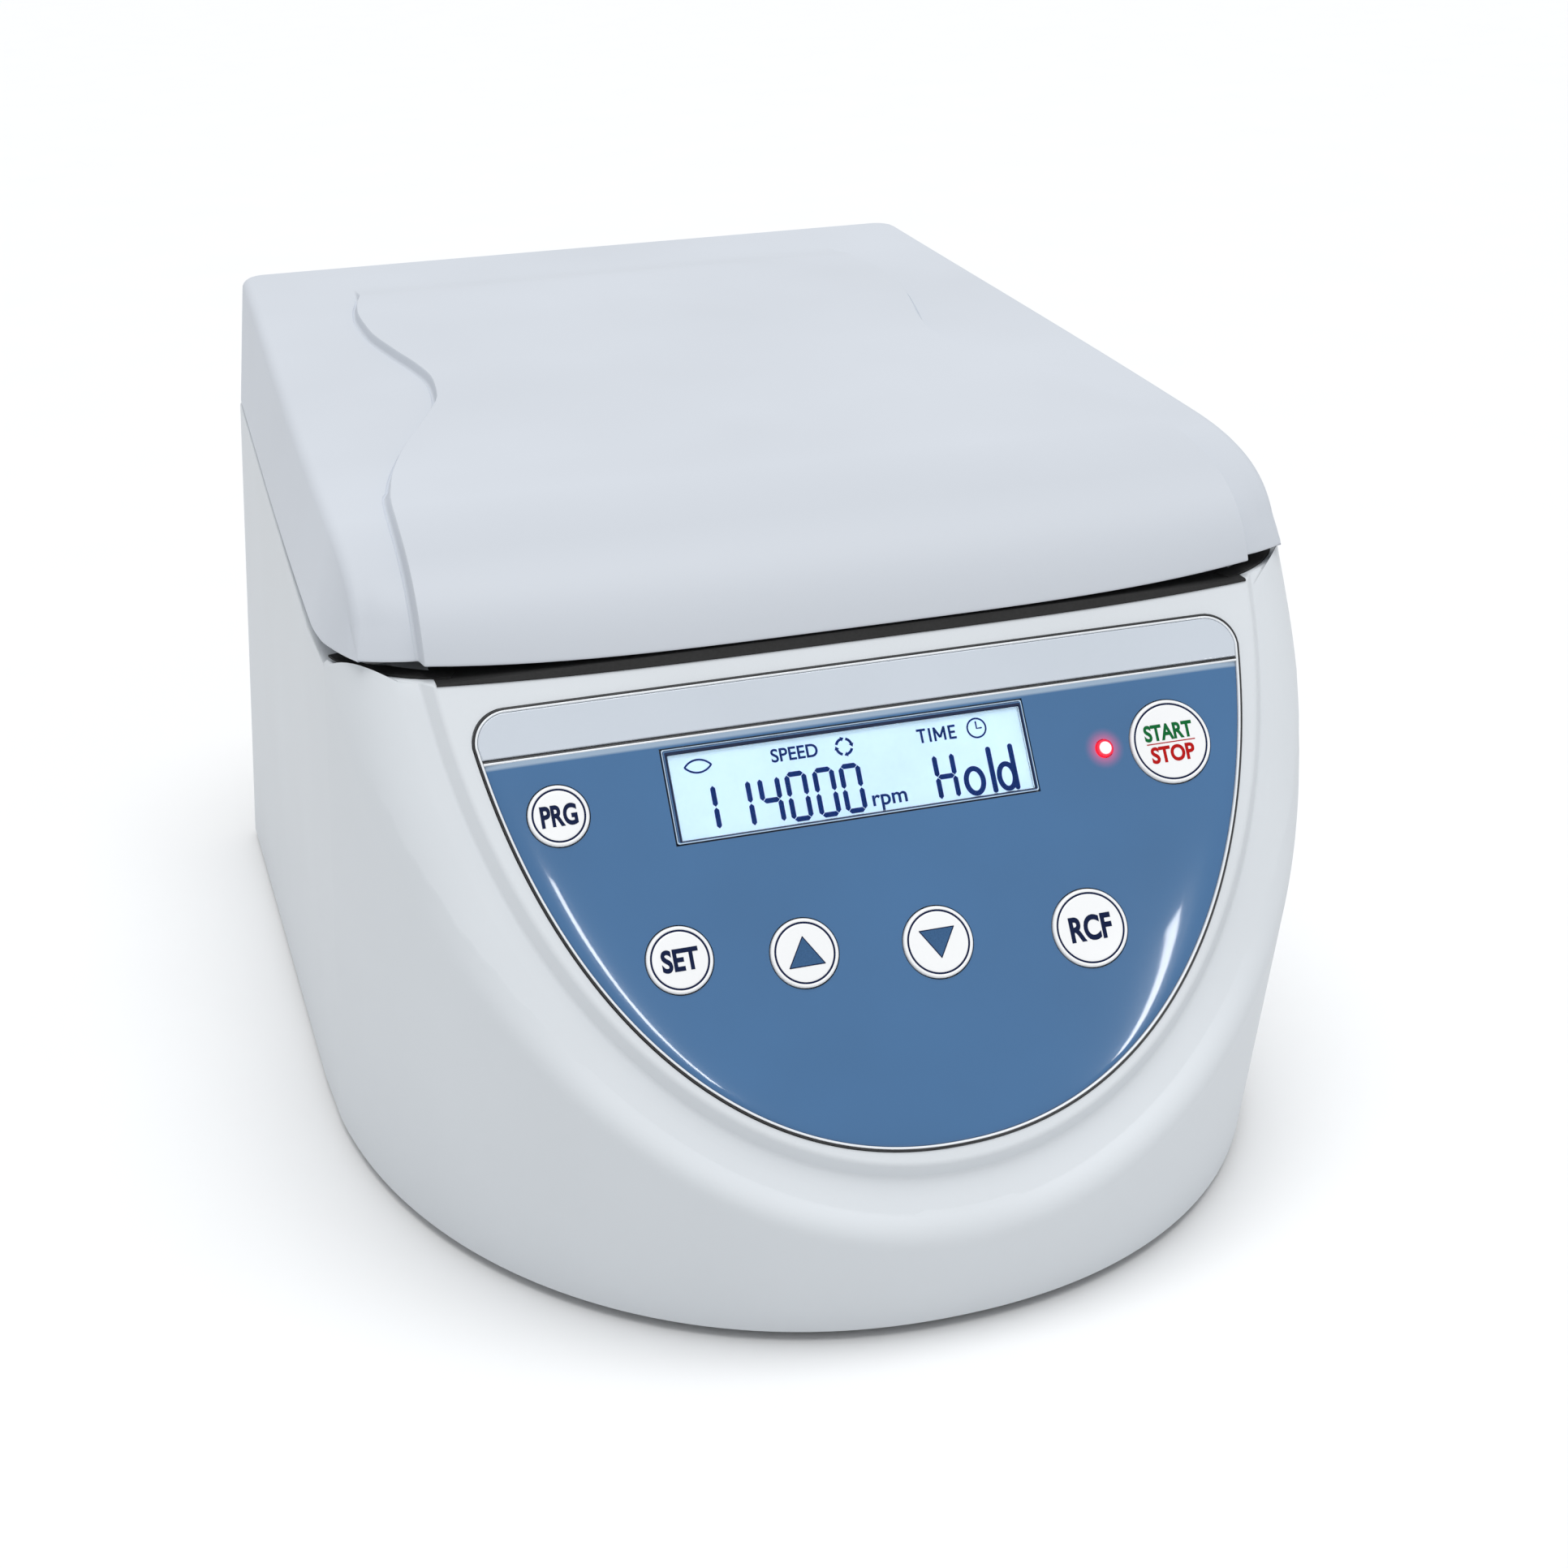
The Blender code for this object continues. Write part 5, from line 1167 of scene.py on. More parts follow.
def ribbon(solid, points, width, low, high, closed=False, tips=True, onto=onPanel):
    # A flat stroke of even width along (x, down) points, with rounded tips
    path = [Vector(point) for point in points]
    widths = [width] * len(path)
    if tips and not closed:
        start, end = path[0], path[-1]
        first = (path[0] - path[1]).normalized()
        last = (path[-1] - path[-2]).normalized()
        turns = [math.pi / 2 * step / 4 for step in range(1, 5)]
        path = ([start + first * width / 2 * math.sin(a) for a in reversed(turns)] + path
                + [end + last * width / 2 * math.sin(a) for a in turns])
        caps = [max(width * math.cos(a), 0.02) for a in turns]
        widths = list(reversed(caps)) + widths + caps
    rings = []
    count = len(path)
    for index, point in enumerate(path):
        before = path[index - 1] if index or closed else point
        after = path[(index + 1) % count] if index < count - 1 or closed else point
        along = (after - before).normalized()
        across = Vector((-along.y, along.x)) * widths[index] / 2
        left, right = point + across, point - across
        rings.append([onto(spot.x, spot.y, out)
                      for spot, out in ((left, low), (left, high), (right, high), (right, low))])
    if closed:
        stitch(solid, cornersOf(solid, rings), endless=True)
    else:
        loft(rings, solid)


def flatShape(solid, outline, low, high):
    loft([panelRing(outline, low), panelRing(outline, high)], solid)


segments = {"0": "abcdef", "1": "bc", "4": "fgbc", "H": "bcefg"}


def segmentDigit(solid, letter, left, top, width, height, low, high):
    # One seven-segment figure: bevelled bars with a small gap between them
    half = display["stroke"] / 2
    gap = display["gap"]
    right, middle, bottom = left + width, top + height / 2, top + height
    bars = {
        "a": ((left, top), (right, top)), "g": ((left, middle), (right, middle)),
        "d": ((left, bottom), (right, bottom)), "f": ((left, top), (left, middle)),
        "b": ((right, top), (right, middle)), "e": ((left, middle), (left, bottom)),
        "c": ((right, middle), (right, bottom)),
    }
    for bar in segments[letter]:
        start, end = (Vector(point) for point in bars[bar])
        along = (end - start).normalized()
        across = Vector((-along.y, along.x))
        start += along * gap
        end -= along * gap
        points = [start, start + along * half + across * half, end - along * half + across * half, end,
                  end - along * half - across * half, start + along * half - across * half]
        flatShape(solid, points, low, high)


def lettering(words, left, top, wide, tall, low, high, bold, onto=onPanel):
    # Words from the plain built-in face, made a mesh and fitted to a box on a surface
    curve = bpy.data.curves.new("letters", "FONT")
    curve.body = words
    curve.extrude = 0.01
    curve.offset = bold
    curve.resolution_u = 6
    piece = newPiece("letters", curve)
    mesh = evaluatedMesh(piece)
    bpy.data.objects.remove(piece)
    bpy.data.curves.remove(curve)
    spots = [vertex.co.copy() for vertex in mesh.vertices]
    lowest = Vector([min(spot[axis] for spot in spots) for axis in range(3)])
    highest = Vector([max(spot[axis] for spot in spots) for axis in range(3)])
    size = highest - lowest
    for vertex, spot in zip(mesh.vertices, spots):
        vertex.co = onto(left + (spot.x - lowest.x) / size.x * wide, top + (highest.y - spot.y) / size.y * tall,
                         mix(low, high, (spot.z - lowest.z) / size.z))
    made = bmesh.new()
    made.from_mesh(mesh)
    bmesh.ops.remove_doubles(made, verts=made.verts, dist=0.001 * mm)
    bpy.data.meshes.remove(mesh)
    return made


def addTo(solid, other):
    mesh = bpy.data.meshes.new("added")
    other.to_mesh(mesh)
    other.free()
    solid.from_mesh(mesh)
    bpy.data.meshes.remove(mesh)


def drawMarks(marks):
    # Figures, words and signs behind the pane
    part = display
    low, high = part["inkLow"], part["inkHigh"]
    for letter, left, top, wide, tall in part["figures"]:
        segmentDigit(marks, letter, left, top, wide, tall, low, high)
    for round, x in zip(part["bowls"], part["stems"]):
        ribbon(marks, ellipse(*round)[:-1], part["letterStroke"], low, high, closed=True)
        ribbon(marks, [(x, end) for end in part["stemEnds"]], part["letterStroke"], low, high)
    upper, lower = part["lens"]
    ribbon(marks, ellipse(*upper) + ellipse(*lower), part["lensStroke"], low, high, closed=True)
    x, down, radius = part["turning"]
    for quarter in range(4):
        first = quarter * math.pi / 2 + part["turningFirst"]
        tip = first + part["turningReach"]
        curve = arc((x, down), radius, first, tip, 8)
        ribbon(marks, curve, part["turningStroke"], low, high, tips=False)
        side = Vector((math.cos(tip), math.sin(tip)))
        along = Vector((-math.sin(tip), math.cos(tip)))
        spot = Vector((x, down)) + side * radius
        half = side * part["headHalf"]
        flatShape(marks, [spot + half, spot + along * part["headLong"], spot - half], low, high)
    ribbon(marks, ellipse(*part["clock"])[:-1], part["clockStroke"], low, high, closed=True)
    ribbon(marks, part["hands"], part["handStroke"], low, high)
    (speed, *place, bold), (unit, *unitPlace, unitBold) = part["words"]
    addTo(marks, lettering(speed, *place, low, high, bold))
    for x, down, toX, toDown in part["timeStrokes"]:
        ribbon(marks, [(x, down), (toX, toDown)], part["timeStroke"], low, high, tips=False)
    addTo(marks, lettering(unit, *unitPlace, low, high, unitBold))
    return marks


def makeDisplay():
    part = display
    frameNavy = glossFilm("frameNavy", colours["frameNavy"], 0.3, 0.1, 0.1)
    paleLine = glossFilm("paleLine", colours["paleLine"], 0.25, 0.04, 0.3)
    stripeBlue = glossFilm("stripeBlue", colours["stripeBlue"], 0.25, 0.05, 0.2)
    ink = printedInk("displayInk", colours["displayInk"], 0.5)
    fit(closedRing("displayFrame", part["frame"], bandOutline, frameNavy), "base", "display_frame",
        finish="frame_plastic")
    fit(closedRing("frameLine", part["line"], lambda inset: bandOutline(0.0, inset), paleLine), "base",
        finish="strip_film")
    fit(closedRing("frameStripe", part["stripe"], bandOutline, stripeBlue), "base", finish="frame_plastic")
    lit = litScreen("litScreen", colours["screen"], 0.57)
    face = panelSolid("litFace", bandOutline(1.0, 0.03), part["screenBack"] - 0.1, part["screenFace"], lit)
    inner = panelSolid("litBody", displayOutline(panel["displayBand"] + 0.6), part["moduleBack"],
                       part["screenBack"] - 0.05, lit)
    fit(joinMeshes("litModule", [face, inner], lit), "base", "display_module", finish="display_blue")
    glass = panelSolid("clearPane", bandOutline(1.0, 0.05), part["glassLow"], part["glassHigh"],
                       clearSheet("clearPane", colours["pane"]))
    fit(glass, "base", "display_window", finish="window_clear")
    fit(meshObject("displayMarks", drawMarks(bmesh.new()), ink), "base", finish="frame_plastic")


makeDisplay()
print("display made")

# Keys and lamp

keyCap = {
    "stemEnd": -8.2, "stemRadius": 2.5, "flangeBack": -4.5, "flangeFace": -3.3, "flange": 1.4,
    "rim": ((0.0, 0.72), (0.05, 0.95), (0.18, 1.14), (0.36, 1.26), (0.56, 1.30), (0.76, 1.26), (0.90, 1.12),
            (1.28, 1.12), (1.40, 1.20), (1.75, 1.25)),
    "dome": ((0.6, 1.275), (0.3, 1.29), (0.0, 1.3)),
    "markLow": 1.22, "markHigh": 1.335, "ringOuter": 0.84, "ringInner": 1.32, "ringLow": 1.06, "ringHigh": 1.17,
    "bold": 0.034, "start": (-0.2, -2.5, 12.9, 4.2), "stop": (-0.1, 3.05, 11.6, 4.2), "bar": (-6.5, 6.4, 0.2),
    "barStroke": 0.26, "arrow": ((0.0, 4.05), (-4.3, -2.85), (4.3, -2.85)), "arrowShift": 0.25,
    "arrowStroke": 0.24,
}


def makeCap(label, key, material, ink):
    part = keyCap
    radius, x, down = key["radius"], key["x"], key["down"]
    stem, flange = part["stemRadius"], radius + part["flange"]
    section = [(0, part["stemEnd"]), (stem, part["stemEnd"]), (stem, part["flangeBack"]),
               (flange, part["flangeBack"]), (flange, part["flangeFace"]), (radius, part["flangeFace"])]
    section += [(radius - inset, out) for inset, out in part["rim"]]
    section += [(radius * share, out) for share, out in part["dome"]]
    body = "button_" + label
    cap = evenShading(panelTurned(label + "Cap", section, x, down, material, 96), 40.0)
    fit(cap, body, body, finish="button_plastic")
    inner, outer = radius - part["ringInner"], radius - part["ringOuter"]
    low, high = part["ringLow"], part["ringHigh"]
    ring = [(inner, low), (outer, low), (outer, high), (inner, high)]
    fit(panelTurned(label + "Ring", ring, x, down, ink, 96), body, finish="frame_plastic")
    return body, x, down


def wordOn(words, x, down, wide, tall):
    return lettering(words, x - wide / 2, down - tall / 2, wide, tall, keyCap["markLow"], keyCap["markHigh"],
                     keyCap["bold"])


def makeKeys():
    capWhite = mouldedPlastic("capWhite", colours["keyWhite"], 0.24, 0.0, 0.03)
    navyInk = printedInk("navyInk", colours["navy"])
    greenInk = printedInk("greenInk", colours["green"])
    redInk = printedInk("redInk", colours["red"])
    arrowInk = printedInk("arrowInk", colours["arrow"])
    part = keyCap
    low, high = part["markLow"], part["markHigh"]
    for label, key in keys.items():
        body, x, down = makeCap(label, key, capWhite, navyInk)
        if "word" in key:
            words, wide, tall = key["word"]
            mark = wordOn(words, x, down, wide, tall)
            fit(meshObject(label + "Word", mark, navyInk), body, finish="frame_plastic")
        elif "way" in key:
            way = key["way"]
            middle = down - way * part["arrowShift"]
            outline = [(x + across, middle + way * along) for across, along in part["arrow"]]
            fill = bmesh.new()
            flatShape(fill, outline, low, high)
            fit(meshObject(label + "Arrow", fill, arrowInk), body, finish="frame_plastic")
            edge = bmesh.new()
            for first, second in zip(outline, outline[1:] + outline[:1]):
                ribbon(edge, [first, second], part["arrowStroke"], low, high + 0.01)
            fit(meshObject(label + "Edge", edge, navyInk), body, finish="frame_plastic")
        else:
            for words, ink in (("start", greenInk), ("stop", redInk)):
                across, along, wide, tall = part[words]
                mark = wordOn(words.upper(), x + across, down + along, wide, tall)
                if words == "stop":
                    left, right, level = part["bar"]
                    line = [(x + left, down + level), (x + right, down + level)]
                    ribbon(mark, line, part["barStroke"], low, high, tips=False)
                fit(meshObject(words + "Word", mark, ink), body, finish="button_plastic")


lampShape = {"back": -9.5, "top": 1.8,
             "dome": ((0.0, 0.45), (0.05, 0.80), (0.25, 1.20), (0.70, 1.58), (1.35, 1.76))}


def makeLamp():
    part = lampShape
    radius = panel["lampRadius"]
    section = [(0, part["back"]), (radius, part["back"])]
    section += [(radius - inset, out) for inset, out in part["dome"]] + [(0, part["top"])]
    lamp = panelTurned("lamp", section, panel["lampX"], panel["lampDown"],
                       glowingLamp("lampGlow", colours["lampCore"], colours["lampRim"]), 48)
    fit(evenShading(lamp, 40.0), "base", "led_indicator", finish="lamp_red")


makeKeys()
makeLamp()
print("keys and lamp made")

# Geometry Nodes trees for what repeats

def newTree(name, inputs):
    tree = bpy.data.node_groups.new(name, "GeometryNodeTree")
    tree.interface.new_socket("Geometry", in_out="INPUT", socket_type="NodeSocketGeometry")
    for label, value in inputs.items():
        kind = "NodeSocketInt" if isinstance(value, int) else "NodeSocketFloat"
        tree.interface.new_socket(label, in_out="INPUT", socket_type=kind).default_value = value
    tree.interface.new_socket("Finish", in_out="INPUT", socket_type="NodeSocketMaterial")
    tree.interface.new_socket("Geometry", in_out="OUTPUT", socket_type="NodeSocketGeometry")
    return tree, tree.nodes.new("NodeGroupInput"), tree.nodes.new("NodeGroupOutput")


def closeTree(tree, start, end, geometry):
    real = wire(tree, "GeometryNodeRealizeInstances", {"Geometry": geometry})
    finished = wire(tree, "GeometryNodeSetMaterial", {"Geometry": real, "Material": start.outputs["Finish"]})
    tree.links.new(finished, end.inputs["Geometry"])
    return tree


def grow(piece, tree, values, material):
    step = piece.modifiers.new(tree.name, "NODES")
    step.node_group = tree
    values = {**values, "Finish": material}
    for item in tree.interface.items_tree:
        if item.in_out == "INPUT" and item.name in values:
            step[item.identifier] = values[item.name]
    return finishModifiers(piece)


def gridTree():
    # Sets the piece that comes in at every crossing of a flat grid
    tree, start, end = newTree("setInGrid", {"Across": 2, "Along": 2, "Width": 0.1, "Length": 0.1})
    given = start.outputs
    grid = wire(tree, "GeometryNodeMeshGrid", {"Vertices X": given["Across"], "Vertices Y": given["Along"],
                                               "Size X": given["Width"], "Size Y": given["Length"]})
    spread = wire(tree, "GeometryNodeInstanceOnPoints", {"Points": grid, "Instance": given["Geometry"]})
    return closeTree(tree, start, end, spread)


def boredTree():
    # Cuts a ring of tilted round places, each with a chamfered mouth, into the blank that comes in
    tree, start, end = newTree("boredRing", {"Count": 12, "Circle": 0.046, "Height": 0.026, "Tilt": -0.785398,
                                             "Bore": 0.0055, "Depth": 0.042, "Shift": -0.007, "Chamfer": 0.0006,
                                             "First": 0.2618})
    given = start.outputs

    def vector(**axes):
        return wire(tree, "ShaderNodeCombineXYZ", axes)

    ring = wire(tree, "GeometryNodeMeshCircle", {"Vertices": given["Count"], "Radius": given["Circle"]})
    points = wire(tree, "GeometryNodeTransform", {"Geometry": ring, "Translation": vector(Z=given["Height"]),
                                                  "Rotation": vector(Z=given["First"])})
    share = maths(tree, "DIVIDE", wire(tree, "GeometryNodeInputIndex", {}), given["Count"])
    angle = maths(tree, "MULTIPLY_ADD", share, 2 * math.pi, given["First"])
    turn = wire(tree, "FunctionNodeEulerToRotation", {"Euler": vector(Y=given["Tilt"], Z=angle)})
    rod = wire(tree, "GeometryNodeMeshCylinder", {"Vertices": 40, "Radius": given["Bore"],
                                                  "Depth": given["Depth"]})
    bore = wire(tree, "GeometryNodeTransform", {"Geometry": rod, "Translation": vector(Z=given["Shift"])})
    wide = maths(tree, "MULTIPLY_ADD", given["Chamfer"], 2.0, given["Bore"])
    narrow = maths(tree, "SUBTRACT", given["Bore"], given["Chamfer"])
    tall = maths(tree, "MULTIPLY", given["Chamfer"], 3.0)
    cone = wire(tree, "GeometryNodeMeshCone", {"Vertices": 40, "Radius Top": wide, "Radius Bottom": narrow,
                                               "Depth": tall})
    sink = vector(Z=maths(tree, "MULTIPLY", given["Chamfer"], -2.0))
    mouth = wire(tree, "GeometryNodeTransform", {"Geometry": cone, "Translation": sink})
    cut = wire(tree, "GeometryNodeMeshBoolean", {"Mesh 1": given["Geometry"]}, "Mesh", operation="DIFFERENCE",
               solver="EXACT")
    for shape in (bore, mouth):
        spread = wire(tree, "GeometryNodeInstanceOnPoints", {"Points": points, "Instance": shape,
                                                             "Rotation": turn})
        real = wire(tree, "GeometryNodeRealizeInstances", {"Geometry": spread})
        tree.links.new(real, cut.node.inputs["Mesh 2"])
    return closeTree(tree, start, end, cut)


setInGrid = gridTree()
boredRing = boredTree()


screw = {
    "head": ((0.0, -0.6), (1.0, -0.6), (1.0, 0.35), (0.93, 0.66), (0.74, 0.88), (0.42, 0.98), (0.0, 1.0)),
    "slotWide": 0.22, "slotLong": 1.1, "slotLow": 0.35, "slotTop": 1.4,
}


def crossScrew(name, radius, tall):
    # Pan head with a cross recess, standing on the ground plane
    part = screw
    head = meshObject(name, turnedSolid([(share * radius, up * tall) for share, up in part["head"]], 28))
    for wide, long in ((part["slotWide"], part["slotLong"]), (part["slotLong"], part["slotWide"])):
        x, y = wide * radius * mm / 2, long * radius * mm / 2
        rings = [[(x, y, z), (-x, y, z), (-x, -y, z), (x, -y, z)]
                 for z in (part["slotLow"] * tall * mm, part["slotTop"] * tall * mm)]
        cutAway(head, [meshObject("bar", loft(rings))])
    return evenShading(head, 34.0)


# Chamber, rotor and nut

drive = {
    "depth": 140.0, "bowlTop": 149.0, "bowlFloor": 88.0, "bowlRadius": 86.2, "bowlWall": 1.5, "bowlFlange": 6.0,
    "bowlHole": 17.2, "rotorBase": 94.0, "rotorRadius": 74.0, "rotorHeight": 44.0, "rimWidth": 10.0,
    "dishRadius": 28.0, "dishFloor": 8.0, "hubRadius": 14.0, "hubTop": 12.0, "hubHeight": 22.0, "bore": 4.3,
    "places": 12, "placeRadius": 5.5, "placeCircle": 46.0, "numberCircle": 69.2,
    "nutBase": 116.3, "nutRadius": 11.0, "nutHeight": 12.0, "nutGrooves": 12, "nutBlind": 9.5,
    "bendOuter": 12.0, "bendInner": 10.5, "mouth": ((1.6, 0.0), (0.7, 0.25), (0.15, 0.8), (0.0, 1.7)),
    "rotorFoot": 64.0, "rotorSlant": 9.5, "edge": 0.7, "numberTall": 3.4, "numberWide": 2.2, "oneWide": 1.1,
    "oneLess": 0.8, "nutDome": ((0.0, 2.4), (0.35, 1.6), (1.1, 0.8), (2.4, 0.2), (3.4, 0.0)),
}


def standAt(piece, height):
    piece.matrix_world = Matrix.Translation(at(0, drive["depth"], height))
    return settle(piece)


def makeBowl(material):
    part = drive
    outer = part["bowlRadius"] + part["bowlWall"]
    floor = part["bowlFloor"]
    top = part["bowlTop"]
    low, rim = floor - part["bowlWall"], top - part["bowlWall"]
    bend = part["bendOuter"]
    section = [(part["bowlHole"], low)] + arc((outer - bend, low + bend), bend, -math.pi / 2, 0.0, 10)
    lip = outer + part["bowlFlange"]
    section += [(outer, rim), (lip - 0.3, rim), (lip, top - 1.2), (lip, top - 0.3), (lip - 0.3, top)]
    section += [(part["bowlRadius"] + out, top - drop) for out, drop in part["mouth"]]
    bend = part["bendInner"]
    section += arc((part["bowlRadius"] - bend, floor + bend), bend, 0.0, -math.pi / 2, 10)
    section.append((part["bowlHole"], floor))
    bowl = standAt(meshObject("bowlSteel", turnedSolid(section, 160), material), 0.0)
    return fit(evenShading(bowl, 40.0), "base", "chamber_bowl", finish="bright_steel")


def makeRotor(material, ink):
    part = drive
    radius, tall = part["rotorRadius"], part["rotorHeight"]
    section = roundedSection([(part["bore"], 0), (part["rotorFoot"], 0), (radius, part["rotorSlant"]),
                              (radius, tall),
                              (radius - part["rimWidth"], tall), (part["dishRadius"], part["dishFloor"]),
                              (part["hubRadius"], part["dishFloor"]), (part["hubTop"], part["hubHeight"]),
                              (part["bore"], part["hubHeight"])], part["edge"], 3)
    blank = meshObject("rotorBody", turnedSolid(section, 144))
    grow(blank, boredRing, {"Count": part["places"], "Circle": part["placeCircle"] * mm,
                            "Bore": part["placeRadius"] * mm}, material)
    standAt(blank, part["rotorBase"])
    fit(evenShading(blank, 34.0), "rotor", "rotor", finish="aluminium")
    numbers = bmesh.new()
    for index in range(part["places"]):
        angle = 2 * math.pi * (index + 0.5) / part["places"]
        away = Vector((math.cos(angle), math.sin(angle), 0.0))
        along = Vector((-math.sin(angle), math.cos(angle), 0.0))
        start = at(0, part["depth"], part["rotorBase"] + tall) + away * part["numberCircle"] * mm

        def onRim(x, down, out, start=start, away=away, along=along):
            return start + along * x * mm + away * down * mm + Vector((0, 0, out * mm))

        words = str(index + 1)
        wide = part["numberWide"] * len(words) - (part["oneLess"] if "1" in words else 0.0)
        if words == "1":
            wide = part["oneWide"]
        high = part["numberTall"]
        addTo(numbers, lettering(words, -wide / 2, -high / 2, wide, high, -0.08, 0.035, 0.01, onRim))
    return fit(meshObject("placeNumbers", numbers, ink), "rotor", finish="black_plastic")


def makeNut(material):
    part = drive
    radius, tall = part["nutRadius"], part["nutHeight"]
    bore, blind = part["bore"], part["nutBlind"]
    section = [(bore, 0), (radius - 0.4, 0), (radius, 0.4)]
    section += [(radius - inset, tall - drop) for inset, drop in part["nutDome"]]
    section += [(0, tall), (0, blind), (bore, blind)]
    blank = meshObject("rotorNut", turnedSolid(section, 96))
    grow(blank, boredRing, {"Count": part["nutGrooves"], "Circle": (radius + 0.55) * mm, "Height": 0.006,
                            "Tilt": 0.0, "Bore": 0.0017, "Depth": 0.02, "Shift": 0.0, "Chamfer": 0.0001,
                            "First": 0.0}, material)
    standAt(blank, part["nutBase"])
    return fit(evenShading(blank, 34.0), "rotor_nut", "rotor_nut", finish="dark_steel")


makeBowl(turnedMetal("bowlFinish", colours["steel"], 0.24))
makeRotor(turnedMetal("rotorFinish", colours["aluminium"], 0.32), printedInk("numberInk", colours["numbers"]))
makeNut(turnedMetal("nutFinish", colours["darkSteel"], 0.3))
print("chamber, rotor and nut made")

# Front seal: a real bulb on a flat dark skirt, which turns over the panel's top edge, with strips along the
# deck's sides; the skirt and strips are painted shade that darkens the gap below the lid

seal = {
    "front": 292.0, "bulbHalf": 89.3, "skirtHalf": 102.8, "skirtHeight": 0.42, "seat": 0.06, "fold": 2.5,
    "bulb": ((288.0, 0.3), (288.0, 1.5), (288.35, 2.15), (289.1, 2.5), (290.0, 2.6), (290.9, 2.5),
             (291.65, 2.15), (292.0, 1.5), (292.0, 0.3)),
    "sideInset": 1.3, "sideWide": 6.0, "sideLeast": 1.7, "sideHeight": 0.6, "bufferGap": 0.35,
    "bulbEnd": 0.4, "turnBefore": 0.4, "bend": 0.15, "foldLeast": 0.2,
}


def makeSeal(material):
    part = seal
    half = part["bulbHalf"]
    rings = [[at(x, depth, deckHeight(depth) + up) for depth, up in part["bulb"]]
             for x in (-half, -half + part["bulbEnd"], 0.0, half - part["bulbEnd"], half)]
    pieces = [meshObject("sealPart", loft(rings), material)]
    # the skirt: a dark sheet over the deck and the panel's top edge, painted shade in the gap under the lid
    rings = []
    low, high, near, bend = part["seat"], part["skirtHeight"], part["front"] + 0.05, part["bend"]
    for step in range(81):
        x = part["skirtHalf"] * (step / 40 - 1)
        fold = mix(part["foldLeast"], part["fold"], frontBow(x))
        turned = panel["depth"] - part["turnBefore"]
        rings.append([at(x, near, deckHeight(near) + low), at(x, near, deckHeight(near) + high),
                      at(x, turned, deckHeight(turned) + high), onPanel(x, -0.12, high), onPanel(x, bend, high),
                      onPanel(x, fold - bend, high), onPanel(x, fold, high - bend), onPanel(x, fold, low),
                      onPanel(x, 0.0, low)])
    pieces.append(meshObject("sealPart", loft(rings), material))
    # side strips: a dark sheet on the deck under the lid's front corners, painted shade
    edge, foot = frontOutlines(60)
    border = [ontoDeck(point) for point in shoulderLine(0, 60, foot, edge, 18)[1]]
    border.append(ontoDeck(at(part["skirtHalf"] - 3, panel["depth"] - 1, 0)))
    corner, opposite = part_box("lid_buffer_right")
    buffer = (Vector(corner) + Vector(opposite)) / 2
    spare = (opposite[0] - corner[0]) / 2 / mm + part["bufferGap"]
    for side in (-1, 1):
        rings = []
        for index, point in enumerate(border):
            along = border[min(index + 1, len(border) - 1)] - border[max(index - 1, 0)]
            inward = Vector((along.y, -along.x, 0.0)).normalized()
            room = (buffer.xy - point.xy).length / mm - spare
            wide = max(min(part["sideWide"], room), part["sideLeast"])
            ring = []
            for far, up in ((part["sideInset"], low), (part["sideInset"], part["sideHeight"]),
                            (wide, part["sideHeight"]), (wide, low)):
                spot = ontoDeck(point + inward * far * mm)
                ring.append(Vector((side * spot.x, spot.y, spot.z + up * mm)))
            rings.append(ring)
        pieces.append(meshObject("sealPart", loft(rings), material))
    piece = joinMeshes("frontSeal", pieces, material)
    return fit(evenShading(piece, 40.0), "base", "front_seal", finish="black_rubber")


# the seal's rubber is darkened well below the other rubber, as painted shade in the gap under the lid
makeSeal(rubber("sealRubberAndPaintedShade", shade(colours["rubber"], 0.22)))
print("front seal made")

# Rear face, underside and liner screws

rear = {
    "face": 3.3, "ventFirst": -8.0, "ventPitch": 7.5, "vents": 9, "ventWidth": 2.8, "ventTall": 36.0,
    "lip": 1.0, "lipProud": 0.45, "level": 49.0, "screwX": 80.0, "screwLow": 25.5, "screwHigh": 72.5,
    "underWide": 110, "underLong": 240, "underDepth": 180, "underHeight": 1.2,
    "linerWide": 190, "linerLong": 225, "linerDepth": 145, "linerHeight": 157.6,
    "switch": (24.0, 7.5, 49.0), "switchTilt": math.radians(9), "switchEnd": 8.2, "switchOut": (5.6, 4.0),
}


def turnedTo(piece, turn, x, depth, height):
    # Turns a piece made on the ground plane about the X axis and moves it to its place
    piece.matrix_world = Matrix.Translation(at(x, depth, height)) @ Matrix.Rotation(turn, 4, "X")
    return settle(piece)


def makeVents(material):
    # One raised lip, set along the row of slots
    part = rear
    rings = []
    lip, proud = part["lip"], part["lipProud"]
    for growth, out in ((0.02, -0.4), (lip, -0.4), (lip, 0.6 * proud), (lip - 0.2, proud), (0.25, proud),
                        (0.02, 0.5 * proud)):
        half, tall = part["ventWidth"] / 2 + growth, part["ventTall"] / 2 + growth
        rings.append([(x * mm, y * mm, out * mm)
                      for x, y in roundedBox(-half, half, -tall, tall, 0.35 + growth, 3)])
    lips = meshObject("ventLips", carriedRound(rings), smoothAngle=40.0)
    span = part["ventPitch"] * (part["vents"] - 1)
    grow(lips, setInGrid, {"Across": part["vents"], "Along": 1, "Width": span * mm, "Length": 0.0}, material)
    turnedTo(lips, -math.pi / 2, part["ventFirst"] - span / 2, part["face"], part["level"])
    return fit(lips, "base", finish="dark_steel")


